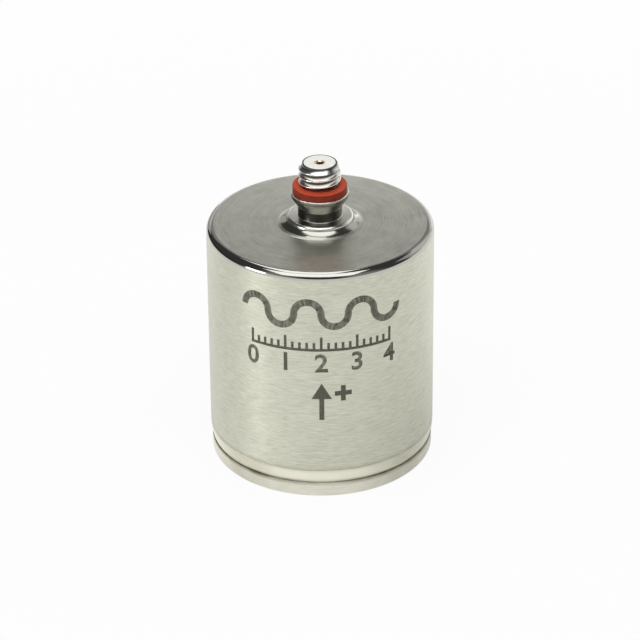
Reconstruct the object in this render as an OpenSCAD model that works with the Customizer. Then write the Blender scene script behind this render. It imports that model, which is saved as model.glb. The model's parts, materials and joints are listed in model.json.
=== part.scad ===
// Vibration sensor: a piezoceramic flexure element and its amplifier board, sealed in a
// turned stainless case with a coaxial cable connector on top and a tapped mounting hole below.
// Millimetres, +Z up, origin at the centre of the mounting face.

/* [Case] */
// Outside diameter of the case
case_d = 25.4; // [24:0.1:32]
// Wall thickness of the case
case_wall = 1; // [0.8:0.05:1.4]
// Height of the flat top above the mounting face
case_top_z = 28.2; // [27:0.1:36]
// Thickness of the case's top
case_top_t = 1.6; // [1.2:0.1:2.4]
// Radius of the rounded edge around the top
case_edge_r = 0.8; // [0.3:0.05:1.2]
// Radius of the corner inside, under the top
case_corner_r = 0.5; // [0.2:0.05:1]
// Rise of the connector boss above the top
boss_rise = 0.62; // [0.4:0.02:0.9]
// Spread of the boss's sloping flank, from its rim to its foot
boss_flare = 1.05; // [0.8:0.05:2]
// Half the turn of the boss's hollow flank, in degrees
boss_hollow = 11; // [5:1:25]
// Width of the boss's rim outside the connector's flange
boss_lip = 0.07; // [0:0.01:0.3]

/* [Base] */
// Thickness of the flange that shows under the case
flange_t = 1.85; // [1.5:0.05:3]
// How far the flange's rim stands in from the case's wall
flange_inset = 0.15; // [0.05:0.05:0.3]
// Chamfer around the mounting face
foot_chamfer = 0.25; // [0.1:0.05:0.6]
// Chamfer on the flange's upper rim
lip_chamfer = 0.1; // [0.05:0.05:0.15]
// Height of the spigot that enters the case
spigot_h = 2.15; // [1.6:0.05:3]
// Chamfer that leads the spigot into the case
spigot_chamfer = 0.3; // [0.1:0.05:0.4]
// Diameter of the post that carries the sensing stack
post_d = 7.2; // [6.4:0.1:8.4]
// Fillet at the foot of the post
post_fillet_r = 0.6; // [0.3:0.1:1]
// Metal left between the mounting hole and the clamp screw's hole
post_web = 1.2; // [0.8:0.1:2]

/* [Mounting hole] */
// Core diameter of the tapped mounting hole, for a number 10 stud with 32 threads an inch
mount_hole_d = 4.04; // [3.3:0.01:5.2]
// Depth of its full diameter
mount_hole_depth = 5.2; // [4:0.1:6.5]
// Height of the drill's point above that
mount_point_h = 1.2; // [0.9:0.05:1.6]
// Countersink at its mouth, measured from the hole's wall
mount_countersink = 0.55; // [0.2:0.05:1]

/* [Closing weld] */
// Height of the weld bead above the flange
weld_h = 1.65; // [1.3:0.05:1.8]
// Depth of the joint that the bead fills
weld_depth = 0.4; // [0.3:0.02:0.6]
// Height of the bead's fullest point above the flange
weld_crown_up = 1.15; // [0.9:0.05:1.25]
// How far the crown lies below the case's wall
weld_crown_low = 0.02; // [0:0.01:0.05]
// Width of the bead's root on the flange
weld_root = 0.15; // [0.02:0.01:0.15]

/* [Connector] */
// Outside diameter of the thread, number 10 with 32 threads an inch
thread_d = 4.826; // [4.7:0.001:5.6]
// Length of the thread, chamfer included
thread_l = 2.6; // [2:0.1:4]
// Chamfer at the end of the thread
thread_chamfer = 0.5; // [0.3:0.05:0.5]
// Diameter of the relief that holds the sealing ring
relief_d = 4; // [3.8:0.05:4.3]
// Diameter of the shoulder under the sealing ring
shoulder_d = 6.4; // [6.2:0.1:7]
// Height of the shoulder's straight land
shoulder_h = 0.55; // [0.3:0.05:1]
// Height of the cone from the neck to the shoulder
cone_h = 1.15; // [0.6:0.05:2]
// Diameter of the neck
neck_d = 4.95; // [4.7:0.05:5.5]
// Height of the neck
neck_h = 1.13; // [0.8:0.01:3]
// Diameter of the lower flange
seat_flange_d = 7.46; // [6.8:0.02:9]
// Thickness of the lower flange
seat_flange_t = 0.4; // [0.4:0.05:0.8]
// Radius of the lower flange's upper edge
seat_edge_r = 0.34; // [0.1:0.02:0.36]
// Diameter of the spigot in the case's top
shell_spigot_d = 5.8; // [5:0.1:6.4]
// How far the spigot reaches below the case's top
shell_spigot_below = 0.4; // [0.2:0.1:1]
// Bore for the insulator
insulator_d = 3; // [2.6:0.05:3.1]
// Counterbore for the insulator's head
insulator_head_d = 3.56; // [3.3:0.02:3.6]
// Thickness of the insulator's head
insulator_head_t = 0.3; // [0.2:0.05:0.6]
// Bore for the glass seal
seal_d = 3.8; // [3.2:0.05:4]
// Web between the insulator and the glass seal
web_t = 0.4; // [0.3:0.05:0.8]
// Hole through that web
web_hole_d = 1.8; // [1.4:0.05:2.2]
// How far the glass seal stands back from the spigot's end
seal_recess = 0.8; // [0.3:0.1:1.5]

/* [Contact and sealing ring] */
// Outside diameter of the contact's socket
contact_d = 1.2; // [1.16:0.02:1.7]
// Bore of the socket
contact_bore_d = 0.8; // [0.7:0.02:0.9]
// Depth of the socket
contact_bore_depth = 3; // [2:0.1:3.6]
// How far the contact stands back from the insulator's face
contact_recess = 0.06; // [0:0.02:0.3]
// Diameter of the contact's tail
contact_tail_d = 0.8; // [0.6:0.05:1]
// How far the tail reaches below the shell
contact_tail_below = 1.2; // [0.6:0.1:2]
// Thickness of the insulator's floor under the socket
insulator_floor_t = 0.6; // [0.4:0.05:1]
// Outside diameter of the sealing ring
ring_d = 6.08; // [5.6:0.02:6.6]
// Thickness of the sealing ring
ring_t = 0.85; // [0.6:0.05:1.2]
// Radius of the ring's corners
ring_corner_r = 0.14; // [0.1:0.02:0.3]

/* [Sensing stack] */
// Thickness of each piezoceramic disc
piezo_t = 0.5; // [0.3:0.05:0.8]
// Thickness of the flexure plate
plate_t = 0.4; // [0.3:0.05:0.8]
// Height of each mass ring
mass_h = 3.2; // [2.4:0.1:4]
// Radial width of each mass ring
mass_w = 2.1; // [1.9:0.1:2.8]
// Gap between the lower mass ring and its overload stop
stop_gap = 0.4; // [0.2:0.05:0.8]
// How far the stop's ridge is narrower than the mass ring, on each side
stop_inset = 0.3; // [0.1:0.05:0.5]
// Gap between the piezoceramic discs and the mass rings
piezo_gap = 0.5; // [0.3:0.05:1]
// Diameter of the ceramic washer under the clamp
insulating_washer_d = 5.6; // [4.8:0.1:6.4]
// Thickness of the ceramic washer
insulating_washer_t = 0.6; // [0.4:0.05:1]
// Diameter of the steel clamp washer
clamp_washer_d = 5.2; // [4.4:0.1:6]
// Thickness of the clamp washer
clamp_washer_t = 0.4; // [0.3:0.05:0.8]
// Diameter of the clamp screw's thread
clamp_screw_d = 2; // [1.6:0.1:2.4]
// Depth of the clamp screw's hole in the post
clamp_hole_depth = 3; // [2.4:0.1:4]
// Diameter of the clamp screw's head
clamp_head_d = 3.8; // [3.2:0.1:4.2]
// Height of the clamp screw's head
clamp_head_h = 2; // [1.4:0.1:2.4]
// Width across the flats of the hexagon socket
clamp_socket = 1.5; // [1.2:0.1:1.8]
// Number of screws through the mass rings
mass_screw_count = 4; // [3:1:6]

/* [Amplifier board] */
// Thickness of the circuit board
board_t = 1; // [0.8:0.1:1.6]
// Gap between the board's rim and the case
board_gap = 0.4; // [0.2:0.05:0.8]
// Height of the standoffs
standoff_h = 14; // [13.6:0.1:15]
// Diameter of the standoffs
standoff_d = 2.4; // [2.2:0.1:2.8]
// Gap between the standoffs and the case
standoff_gap = 0.4; // [0.3:0.05:0.8]
// Gap between the standoffs and the mass rings
mass_gap = 0.5; // [0.3:0.05:1]
// Length of the stud under each standoff
standoff_stud_l = 1.5; // [1:0.1:2]

/* [Small screws and leads] */
// Diameter of the small screws
screw_d = 1.2; // [1:0.1:1.4]
// Diameter of their heads
screw_head_d = 2; // [1.8:0.1:2.2]
// Height of their heads
screw_head_h = 0.7; // [0.5:0.05:0.9]
// Length of thread that the small screws have in their holes
screw_bite = 2.2; // [1.6:0.1:2.6]
// Diameter of the insulated leads
lead_d = 0.6; // [0.4:0.05:0.8]

/* [Hidden] */

$fn = 96;
// Overrun of a cutting solid past the face that it cuts
over = 1;
// Radial clearance of a slip fit
slip_fit = 0.05;
// Radial clearance of a screw in a plain hole
screw_clear = 0.1;
// Depth that a tapped hole has left below its screw
thread_runout = 0.5;
// Straight steps in a rounded corner
arc_steps = 8;
// Standoffs and screws that carry the board
standoff_count = 3;

steel = [0.79, 0.79, 0.75];
bright_steel = [0.72, 0.72, 0.71];
gold = [0.83, 0.63, 0.28];
brass = [0.76, 0.62, 0.32];
piezo_grey = [0.42, 0.41, 0.36];

// Heights, from the mounting face up
deck_z = flange_t + spigot_h;
weld_top_z = flange_t + weld_h;
mount_tip_z = mount_hole_depth + mount_point_h;
post_top_z = mount_tip_z + post_web + clamp_hole_depth;
plate_z = post_top_z + piezo_t;
plate_top_z = plate_z + plate_t;
piezo_top_z = plate_top_z + piezo_t;
clamp_washer_z = piezo_top_z + insulating_washer_t;
clamp_head_z = clamp_washer_z + clamp_washer_t;
mass_top_z = plate_top_z + mass_h;
stop_z = plate_z - mass_h - stop_gap;
board_z = deck_z + standoff_h;
board_top_z = board_z + board_t;
case_inner_top_z = case_top_z - case_top_t;
seat_z = case_top_z + boss_rise;
neck_z = seat_z + seat_flange_t;
cone_z = neck_z + neck_h;
land_z = cone_z + cone_h;
ring_z = land_z + shoulder_h;
thread_z = ring_z + ring_t + slip_fit;
top_z = thread_z + thread_l;
shell_foot_z = case_inner_top_z - shell_spigot_below;
seal_z = shell_foot_z + seal_recess;
web_z = cone_z - web_t;
contact_seat_z = cone_z + insulator_floor_t;
insulator_head_z = top_z - insulator_head_t;
contact_foot_z = shell_foot_z - contact_tail_below;

// Radii, from the case inward
case_r = case_d / 2;
case_inner_r = case_r - case_wall;
flange_r = case_r - flange_inset;
weld_r = case_r - weld_depth;
spigot_r = case_inner_r - slip_fit;
board_r = case_inner_r - board_gap;
standoff_pitch_r = case_inner_r - standoff_gap - standoff_d / 2;
mass_r = standoff_pitch_r - standoff_d / 2 - mass_gap;
mass_inner_r = mass_r - mass_w;
mass_screw_pitch_r = (mass_r + mass_inner_r) / 2;
piezo_r = mass_inner_r - piezo_gap;
signal_r = (insulating_washer_d / 2 + piezo_r) / 2;
boss_r = seat_flange_d / 2 + boss_lip;
boss_foot_r = boss_r + boss_flare;

// Places on the board: the leads' holes, and the parts beside them
signal_angle = 256;
signal_twist = 24;
signal_place = signal_r * [cos(signal_angle + signal_twist), sin(signal_angle + signal_twist)];
output_place = [0, 7.2];
transistor_place = [0.4, -signal_r - 2.9];
amplifier_place = [-4.4, 0];
tantalum_place = [4.6, 2.3];
resistor_places = [[3.2, -2.2, 90], [5.2, -2.2, 90], [-4.2, -5.6, 0], [-4.2, 5.2, 0]];
capacitor_places = [[7.4, -2.2, 90], [3.4, 6, 0]];
output_bow = 3.4;
lead_straight = 1.1;
lead_sides = 8;
lead_rings = 24;

// Outline helpers

// Points of an arc about a centre, from one angle to another
function arc(centre, r, from, to) =
  [for (i = [0:arc_steps]) let (a = from + (to - from) * i / arc_steps) centre + r * [cos(a), sin(a)]];

// Points of an arc from one point to another, whose heading turns by twice the bow
function bowed(from, to, bow) =
  let (chord = to - from, lean = atan2(chord.y, chord.x))
  [for (i = [0:arc_steps]) let (t = i / arc_steps, a = lean + bow * (t - 1))
    from + norm(chord) * sin(bow * t) / sin(bow) * [cos(a), sin(a)]];

// Point on a circle about the axis, at a height
function polar(r, angle, z) = [r * cos(angle), r * sin(angle), z];

// Solid of revolution between two radii
module washer(r, inner_r, t) {
  difference() {
    cylinder(r = r, h = t);
    translate([0, 0, -over]) cylinder(r = inner_r, h = t + 2 * over);
  }
}

// Copies of the children spread evenly about the axis
module around(count, r, from = 0) {
  for (i = [0:count - 1]) rotate(from + 360 * i / count) translate([r, 0, 0]) children();
}

// Slotted screw, with its head standing on the origin's plane
module slotted_screw(length) {
  slot_w = 0.3;
  slot_depth = 0.35;
  difference() {
    union() {
      cylinder(d = screw_head_d, h = screw_head_h);
      translate([0, 0, -length]) cylinder(d = screw_d, h = length + screw_head_h / 2);
    }
    translate([-screw_head_d, -slot_w / 2, screw_head_h - slot_depth])
      cube([2 * screw_head_d, slot_w, slot_depth + over]);
  }
}

// Case and base

// The turned cup, with the joint for the weld at its foot and the connector's boss on top
module case() {
  color(steel) rotate_extrude() polygon(concat(
    [
      [case_inner_r, flange_t],
      [weld_r, flange_t],
      [weld_r, weld_top_z],
      [case_r, weld_top_z]
    ],
    arc([case_r - case_edge_r, case_top_z - case_edge_r], case_edge_r, 0, 90),
    bowed([boss_foot_r, case_top_z], [boss_r, seat_z], -boss_hollow),
    [
      [shell_spigot_d / 2 + slip_fit, seat_z],
      [shell_spigot_d / 2 + slip_fit, case_inner_top_z]
    ],
    arc([case_inner_r - case_corner_r, case_inner_top_z - case_corner_r], case_corner_r, 90, 0)
  ));
}

// The turned base: flange, spigot, overload stop and post, with its tapped holes
module base() {
  post_r = post_d / 2;
  stud_hole_depth = standoff_stud_l + thread_runout;
  color(steel) difference() {
    rotate_extrude() polygon(concat(
      [
        [0, 0],
        [flange_r - foot_chamfer, 0],
        [flange_r, foot_chamfer],
        [flange_r, flange_t - lip_chamfer],
        [flange_r - lip_chamfer, flange_t],
        [spigot_r, flange_t],
        [spigot_r, deck_z - spigot_chamfer],
        [spigot_r - spigot_chamfer, deck_z],
        [mass_r - stop_inset, deck_z],
        [mass_r - stop_inset, stop_z],
        [mass_inner_r + stop_inset, stop_z],
        [mass_inner_r + stop_inset, deck_z]
      ],
      arc([post_r + post_fillet_r, deck_z + post_fillet_r], post_fillet_r, 270, 180),
      [[post_r, post_top_z], [0, post_top_z]]
    ));
    mounting_hole();
    translate([0, 0, post_top_z - clamp_hole_depth])
      cylinder(d = clamp_screw_d + 2 * slip_fit, h = clamp_hole_depth + over);
    around(standoff_count, standoff_pitch_r)
      translate([0, 0, deck_z - stud_hole_depth])
        cylinder(d = screw_d + 2 * slip_fit, h = stud_hole_depth + over);
  }
}

// The mounting hole's cutter: countersink, full diameter and drill point
module mounting_hole() {
  mouth_r = mount_hole_d / 2 + mount_countersink;
  rotate_extrude() polygon([
    [0, -over],
    [mouth_r, -over],
    [mouth_r, 0],
    [mount_hole_d / 2, mount_countersink],
    [mount_hole_d / 2, mount_hole_depth],
    [0, mount_tip_z]
  ]);
}

// The weld bead between the case's foot and the base's flange
module closing_weld() {
  sag = weld_depth - weld_root - weld_crown_low;
  crown_r = (sag * sag + weld_crown_up * weld_crown_up) / (2 * sag);
  crown = [case_r - weld_crown_low - crown_r, flange_t + weld_crown_up];
  color(bright_steel) rotate_extrude() polygon(concat(
    [[weld_r, weld_top_z], [weld_r, flange_t]],
    arc(crown, crown_r, -asin(weld_crown_up / crown_r), asin((weld_h - weld_crown_up) / crown_r))
  ));
}

// Connector

// The turned connector shell, from its spigot in the case to the thread's end
module connector_shell() {
  land_chamfer = 0.08;
  start_chamfer = 0.2;
  color(bright_steel) rotate_extrude() polygon(concat(
    [
      [seal_d / 2, shell_foot_z],
      [shell_spigot_d / 2, shell_foot_z],
      [shell_spigot_d / 2, seat_z],
      [seat_flange_d / 2, seat_z]
    ],
    arc([seat_flange_d / 2 - seat_edge_r, neck_z - seat_edge_r], seat_edge_r, 0, 90),
    [
      [neck_d / 2, neck_z],
      [neck_d / 2, cone_z],
      [shoulder_d / 2, land_z],
      [shoulder_d / 2, ring_z - land_chamfer],
      [shoulder_d / 2 - land_chamfer, ring_z],
      [relief_d / 2, ring_z],
      [relief_d / 2, thread_z],
      [thread_d / 2 - start_chamfer, thread_z],
      [thread_d / 2, thread_z + start_chamfer],
      [thread_d / 2, top_z - thread_chamfer],
      [thread_d / 2 - thread_chamfer, top_z],
      [insulator_head_d / 2, top_z],
      [insulator_head_d / 2, insulator_head_z],
      [insulator_d / 2, insulator_head_z],
      [insulator_d / 2, cone_z],
      [web_hole_d / 2, cone_z],
      [web_hole_d / 2, web_z],
      [seal_d / 2, web_z]
    ]
  ));
}

// The plastic insulator around the contact's socket, with its head in the shell's end
module connector_insulator() {
  color("white") rotate_extrude() polygon([
    [contact_tail_d / 2 + slip_fit, cone_z],
    [insulator_d / 2, cone_z],
    [insulator_d / 2, insulator_head_z],
    [insulator_head_d / 2, insulator_head_z],
    [insulator_head_d / 2, top_z],
    [contact_d / 2, top_z],
    [contact_d / 2, contact_seat_z],
    [contact_tail_d / 2 + slip_fit, contact_seat_z]
  ]);
}

// The glass that seals the contact's tail into the shell
module glass_seal() {
  color([0.25, 0.35, 0.4]) translate([0, 0, seal_z])
    washer(seal_d / 2, contact_tail_d / 2, web_z - seal_z);
}

// The gold-plated contact: a socket for the plug's pin, and a tail for the lead
module contact_socket() {
  mouth = 0.1;
  socket_top_z = top_z - contact_recess;
  color(gold) rotate_extrude() polygon([
    [0, contact_foot_z],
    [contact_tail_d / 2, contact_foot_z],
    [contact_tail_d / 2, contact_seat_z],
    [contact_d / 2, contact_seat_z],
    [contact_d / 2, socket_top_z],
    [contact_bore_d / 2 + mouth, socket_top_z],
    [contact_bore_d / 2, socket_top_z - mouth],
    [contact_bore_d / 2, socket_top_z - contact_bore_depth],
    [0, socket_top_z - contact_bore_depth]
  ]);
}

// The red rubber ring that seals the cable's plug
module sealing_ring() {
  inner = relief_d / 2 + slip_fit + ring_corner_r;
  outer = ring_d / 2 - ring_corner_r;
  low = ring_z + ring_corner_r;
  high = ring_z + ring_t - ring_corner_r;
  color([0.72, 0.17, 0.1]) rotate_extrude() polygon(concat(
    arc([inner, low], ring_corner_r, 180, 270),
    arc([outer, low], ring_corner_r, 270, 360),
    arc([outer, high], ring_corner_r, 0, 90),
    arc([inner, high], ring_corner_r, 90, 180)
  ));
}

// Sensing stack

// A piezoceramic disc with its clearance hole for the clamp screw
module piezo_disc(z) {
  color(piezo_grey) translate([0, 0, z])
    washer(piezo_r, clamp_screw_d / 2 + 2 * screw_clear, piezo_t);
}

module lower_piezo_disc() {
  piezo_disc(post_top_z);
}

module upper_piezo_disc() {
  piezo_disc(plate_top_z);
}

// The plate that bends between the clamped middle and the mass rings
module flexure_plate() {
  color([0.74, 0.5, 0.32]) translate([0, 0, plate_z]) difference() {
    washer(mass_r, clamp_screw_d / 2 + screw_clear, plate_t);
    around(mass_screw_count, mass_screw_pitch_r, 180 / mass_screw_count)
      translate([0, 0, -over]) cylinder(d = screw_d + 2 * screw_clear, h = plate_t + 2 * over);
  }
}

// A mass ring drilled for the screws that hold the pair to the plate
module mass_ring(z, hole_clear) {
  color(brass) translate([0, 0, z]) difference() {
    washer(mass_r, mass_inner_r, mass_h);
    around(mass_screw_count, mass_screw_pitch_r, 180 / mass_screw_count)
      translate([0, 0, -over]) cylinder(d = screw_d + 2 * hole_clear, h = mass_h + 2 * over);
  }
}

module lower_mass_ring() {
  mass_ring(plate_z - mass_h, slip_fit);
}

module upper_mass_ring() {
  mass_ring(plate_top_z, screw_clear);
}

module mass_screws() {
  color(bright_steel) translate([0, 0, mass_top_z])
    around(mass_screw_count, mass_screw_pitch_r, 180 / mass_screw_count)
      slotted_screw(mass_h + plate_t + screw_bite);
}

module insulating_washer() {
  color("ivory") translate([0, 0, piezo_top_z])
    washer(insulating_washer_d / 2, clamp_screw_d / 2 + screw_clear, insulating_washer_t);
}

module clamp_washer() {
  color(bright_steel) translate([0, 0, clamp_washer_z])
    washer(clamp_washer_d / 2, clamp_screw_d / 2 + screw_clear, clamp_washer_t);
}

// The socket-head screw that clamps the stack to the post
module clamp_screw() {
  socket_depth = clamp_head_h / 2;
  foot_z = post_top_z - clamp_hole_depth + thread_runout;
  color(bright_steel) difference() {
    union() {
      translate([0, 0, clamp_head_z]) cylinder(d = clamp_head_d, h = clamp_head_h);
      translate([0, 0, foot_z]) cylinder(d = clamp_screw_d, h = clamp_head_z + socket_depth / 2 - foot_z);
    }
    translate([0, 0, clamp_head_z + clamp_head_h - socket_depth])
      cylinder(d = clamp_socket / cos(30), h = socket_depth + over, $fn = 6);
  }
}

// Amplifier board

// Posts that screw into the base and carry the board
module board_standoffs() {
  hole_depth = screw_bite + thread_runout;
  color(brass) translate([0, 0, deck_z]) around(standoff_count, standoff_pitch_r) difference() {
    union() {
      cylinder(d = standoff_d, h = standoff_h);
      translate([0, 0, -standoff_stud_l]) cylinder(d = screw_d, h = standoff_stud_l + over);
    }
    translate([0, 0, standoff_h - hole_depth]) cylinder(d = screw_d + 2 * slip_fit, h = hole_depth + over);
  }
}

// The round board, drilled for its screws and its two leads
module circuit_board() {
  key_r = 0.8;
  color([0.1, 0.35, 0.2]) translate([0, 0, board_z]) difference() {
    cylinder(r = board_r, h = board_t);
    around(standoff_count, standoff_pitch_r)
      translate([0, 0, -over]) cylinder(d = screw_d + 2 * screw_clear, h = board_t + 2 * over);
    for (place = [signal_place, output_place])
      translate([each place, -over]) cylinder(d = lead_d + 2 * slip_fit, h = board_t + 2 * over);
    rotate(180) translate([board_r, 0, -over]) cylinder(r = key_r, h = board_t + 2 * over);
  }
}

module board_screws() {
  color(bright_steel) translate([0, 0, board_top_z]) around(standoff_count, standoff_pitch_r)
    slotted_screw(board_t + screw_bite);
}

// A bent lead of a surface-mounted package, along +X from the body's side
module gull_wing(width, reach, height, metal_t) {
  half = reach / 2;
  translate([0, width / 2, 0]) rotate([90, 0, 0]) linear_extrude(width) polygon([
    [-metal_t, height],
    [half, height],
    [half, metal_t],
    [reach, metal_t],
    [reach, 0],
    [half - metal_t, 0],
    [half - metal_t, height - metal_t],
    [-metal_t, height - metal_t]
  ]);
}

// A moulded package body with a drafted top, standing off the board
module package_body(size, standoff) {
  draft = 0.15;
  translate([0, 0, standoff]) rotate([90, 0, 90]) translate([0, 0, -size[0] / 2])
    linear_extrude(size[0]) polygon([
      [-size[1] / 2, 0],
      [size[1] / 2, 0],
      [size[1] / 2, size[2] / 2],
      [size[1] / 2 - draft, size[2]],
      [draft - size[1] / 2, size[2]],
      [-size[1] / 2, size[2] / 2]
    ]);
}

// The amplifier in its eight-lead package
module amplifier_chip() {
  size = [4.9, 3.9, 1.4];
  standoff = 0.15;
  pitch = 1.27;
  lead_w = 0.42;
  lead_reach = 1.05;
  lead_t = 0.2;
  color("dimgray") translate([each amplifier_place, board_top_z]) union() {
    package_body(size, standoff);
    for (side = [0, 180], i = [-1.5:1:1.5])
      rotate(side) translate([i * pitch, size[1] / 2, 0]) rotate(90)
        gull_wing(lead_w, lead_reach, standoff + size[2] / 2, lead_t);
  }
}

// The field-effect transistor that takes the element's charge
module input_transistor() {
  size = [2.9, 1.3, 0.95];
  standoff = 0.08;
  half_pitch = 0.95;
  lead_w = 0.4;
  lead_reach = 0.6;
  lead_h = 0.5;
  lead_t = 0.13;
  color("dimgray") translate([each transistor_place, board_top_z]) union() {
    package_body(size, standoff);
    for (x = [-half_pitch, half_pitch]) translate([x, size[1] / 2, 0]) rotate(90)
      gull_wing(lead_w, lead_reach, lead_h, lead_t);
    translate([0, -size[1] / 2, 0]) rotate(-90) gull_wing(lead_w, lead_reach, lead_h, lead_t);
  }
}

// A chip part: a body between two slightly larger metal ends
module chip(size, end_l) {
  proud = 0.04;
  translate([-size[0] / 2, -size[1] / 2, 0]) union() {
    translate([0, proud, proud]) cube([size[0], size[1] - 2 * proud, size[2] - 2 * proud]);
    for (x = [0, size[0] - end_l]) translate([x, 0, 0]) cube([end_l, size[1], size[2]]);
  }
}

module chip_resistors() {
  size = [2, 1.25, 0.55];
  end_l = 0.4;
  color("black") for (p = resistor_places)
    translate([p[0], p[1], board_top_z]) rotate(p[2]) chip(size, end_l);
}

module chip_capacitors() {
  size = [3.2, 1.6, 1.2];
  end_l = 0.5;
  color("tan") for (p = capacitor_places)
    translate([p[0], p[1], board_top_z]) rotate(p[2]) chip(size, end_l);
}

// The moulded tantalum capacitor, with a folded tab at each end
module tantalum_capacitor() {
  size = [3.5, 2.8, 1.8];
  tab = [0.2, 2.2, 1];
  color("goldenrod") translate([each tantalum_place, board_top_z]) union() {
    package_body(size, 0);
    for (side = [0, 180]) rotate(side) translate([size[0] / 2 - tab[0] / 2, -tab[1] / 2, 0]) cube(tab);
  }
}

// Solder over the signal lead's end, and under the output lead's
module solder_joints() {
  dome_h = 0.55;
  spread = 0.4;
  tip_r = lead_d / 2 + slip_fit;
  foot_r = tip_r + spread;
  color("silver") {
    translate([each signal_place, board_top_z])
      cylinder(r1 = foot_r, r2 = tip_r, h = dome_h);
    translate([each output_place, board_z - dome_h])
      cylinder(r1 = tip_r, r2 = foot_r, h = dome_h);
  }
}

// Leads

// A point on the cubic curve of four control points
function cubic(p, t) =
  p[0] * pow(1 - t, 3) + 3 * p[1] * t * pow(1 - t, 2) + 3 * p[2] * t * t * (1 - t) + p[3] * pow(t, 3);

// A lead's route: straight up from its foot, over a cubic curve, and straight up to its head
function lead_route(foot, foot_out, head, head_in, bow) = concat(
  [foot],
  [for (i = [0:lead_rings]) cubic([foot_out, foot_out + [0, 0, 1] + bow, head_in - [0, 0, 1] + bow, head_in],
    i / lead_rings)],
  [head]
);

function unit(v) = v / norm(v);

// Direction of a route at one of its points, upright at both ends
function heading(route, i) =
  i == 0 || i == len(route) - 1 ? [0, 0, 1] : unit(route[i + 1] - route[i - 1]);

// A round lead swept along a route
module lead(route) {
  last = len(route) - 1;
  rings = [for (i = [0:last]) let (
    along = heading(route, i),
    side = unit(cross([0, 1, 0], along)),
    other = cross(along, side)
  ) [for (k = [0:lead_sides - 1]) let (a = 360 * k / lead_sides)
    route[i] + lead_d / 2 * (cos(a) * side + sin(a) * other)]];
  points = [for (ring = rings) each ring];
  walls = [for (i = [0:last - 1], k = [0:lead_sides - 1]) let (
    a = i * lead_sides + k,
    b = i * lead_sides + (k + 1) % lead_sides
  ) each [[a, a + lead_sides, b + lead_sides], [a, b + lead_sides, b]]];
  foot = [[for (k = [0:lead_sides - 1]) k]];
  head = [[for (k = [lead_sides - 1:-1:0]) last * lead_sides + k]];
  polyhedron(points, concat(walls, foot, head));
}

// From the upper disc's electrode up through the board
module signal_lead() {
  foot = polar(signal_r, signal_angle, piezo_top_z);
  head = [each signal_place, board_top_z];
  rise = [0, 0, lead_straight];
  color("firebrick") lead(lead_route(foot, foot + rise, head, head - rise - [0, 0, board_t], [0, 0, 0]));
}

// From under the board up to the contact's tail
module output_lead() {
  foot = [each output_place, board_z];
  head = [0, 0, contact_foot_z];
  rise = [0, 0, lead_straight];
  color("white") lead(lead_route(foot, foot + rise + [0, 0, board_t], head, head - rise, [-output_bow, 0, 0]));
}

case();
base();
closing_weld();
connector_shell();
connector_insulator();
glass_seal();
contact_socket();
sealing_ring();
lower_piezo_disc();
flexure_plate();
upper_piezo_disc();
lower_mass_ring();
upper_mass_ring();
mass_screws();
insulating_washer();
clamp_washer();
clamp_screw();
board_standoffs();
circuit_board();
board_screws();
amplifier_chip();
input_transistor();
chip_resistors();
chip_capacitors();
tantalum_capacitor();
solder_joints();
signal_lead();
output_lead();
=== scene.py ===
"""Looks of a vibration sensor: turned steel case, welded base, coaxial connector and etched mark."""

import json
import logging
import math
from collections.abc import Sequence
from dataclasses import dataclass
from enum import Enum, IntEnum

import bmesh
import bpy
from mathutils import Matrix, Vector


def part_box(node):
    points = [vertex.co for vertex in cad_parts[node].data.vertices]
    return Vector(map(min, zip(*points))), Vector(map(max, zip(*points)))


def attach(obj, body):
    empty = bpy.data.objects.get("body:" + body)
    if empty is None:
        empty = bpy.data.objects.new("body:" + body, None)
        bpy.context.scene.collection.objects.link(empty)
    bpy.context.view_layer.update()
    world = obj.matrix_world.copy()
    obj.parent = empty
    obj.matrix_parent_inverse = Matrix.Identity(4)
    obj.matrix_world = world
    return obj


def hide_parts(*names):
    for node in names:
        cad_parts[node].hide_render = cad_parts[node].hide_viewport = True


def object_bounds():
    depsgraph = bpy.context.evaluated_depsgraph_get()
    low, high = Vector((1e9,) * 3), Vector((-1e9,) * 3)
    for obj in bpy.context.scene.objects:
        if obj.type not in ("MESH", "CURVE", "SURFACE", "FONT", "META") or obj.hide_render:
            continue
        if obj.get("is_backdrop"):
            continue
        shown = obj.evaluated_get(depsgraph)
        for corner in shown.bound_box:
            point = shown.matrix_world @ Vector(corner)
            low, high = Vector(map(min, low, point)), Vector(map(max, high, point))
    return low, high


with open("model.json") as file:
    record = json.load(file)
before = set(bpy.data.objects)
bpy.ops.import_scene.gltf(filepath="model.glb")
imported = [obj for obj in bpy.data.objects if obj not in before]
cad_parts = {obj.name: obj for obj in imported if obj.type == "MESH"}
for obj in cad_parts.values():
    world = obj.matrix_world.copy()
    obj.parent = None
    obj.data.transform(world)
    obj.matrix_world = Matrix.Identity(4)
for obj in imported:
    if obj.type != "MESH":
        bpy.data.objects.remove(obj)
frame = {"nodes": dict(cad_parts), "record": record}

Socket = bpy.types.NodeSocket
Mesh = bmesh.types.BMesh
Pair = tuple[float, float]
Triple = tuple[float, float, float]
Colour = Triple

LOG = logging.getLogger("vibration_sensor")
MM = 0.001
BODY = "root"
SEAM = "seam"
MERGE_REACH = 1e-7
LEVEL = 0.999

PATTERN_ENDS: Pair = (0.25, 0.75)
ROUGHNESS_SPREAD = 0.15
GRAIN_LAYERS: Pair = (3.0, 0.6)
CLOUD_LAYERS: Pair = (6.0, 0.7)
# The heat settings make the tint along the weld's seams patchy; that tint is heat tint and painted shade.
HEAT_AND_SHADE_LAYERS: Pair = (4.0, 0.65)
MOTTLE_LAYERS: Pair = (4.0, 0.6)
CLOUD_PER_M: Triple = (400.0, 400.0, 500.0)
HEAT_AND_SHADE_PER_M: Triple = (700.0, 700.0, 2500.0)
SPECKLE_PER_M: Triple = (2500.0, 2500.0, 2500.0)
HEAT_AND_SHADE_ENDS: Pair = (0.6, 1.15)
METAL_RELIEF = 0.35
PLAIN_RELIEF = 0.3
QUARTER_TURN = 0.25

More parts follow.
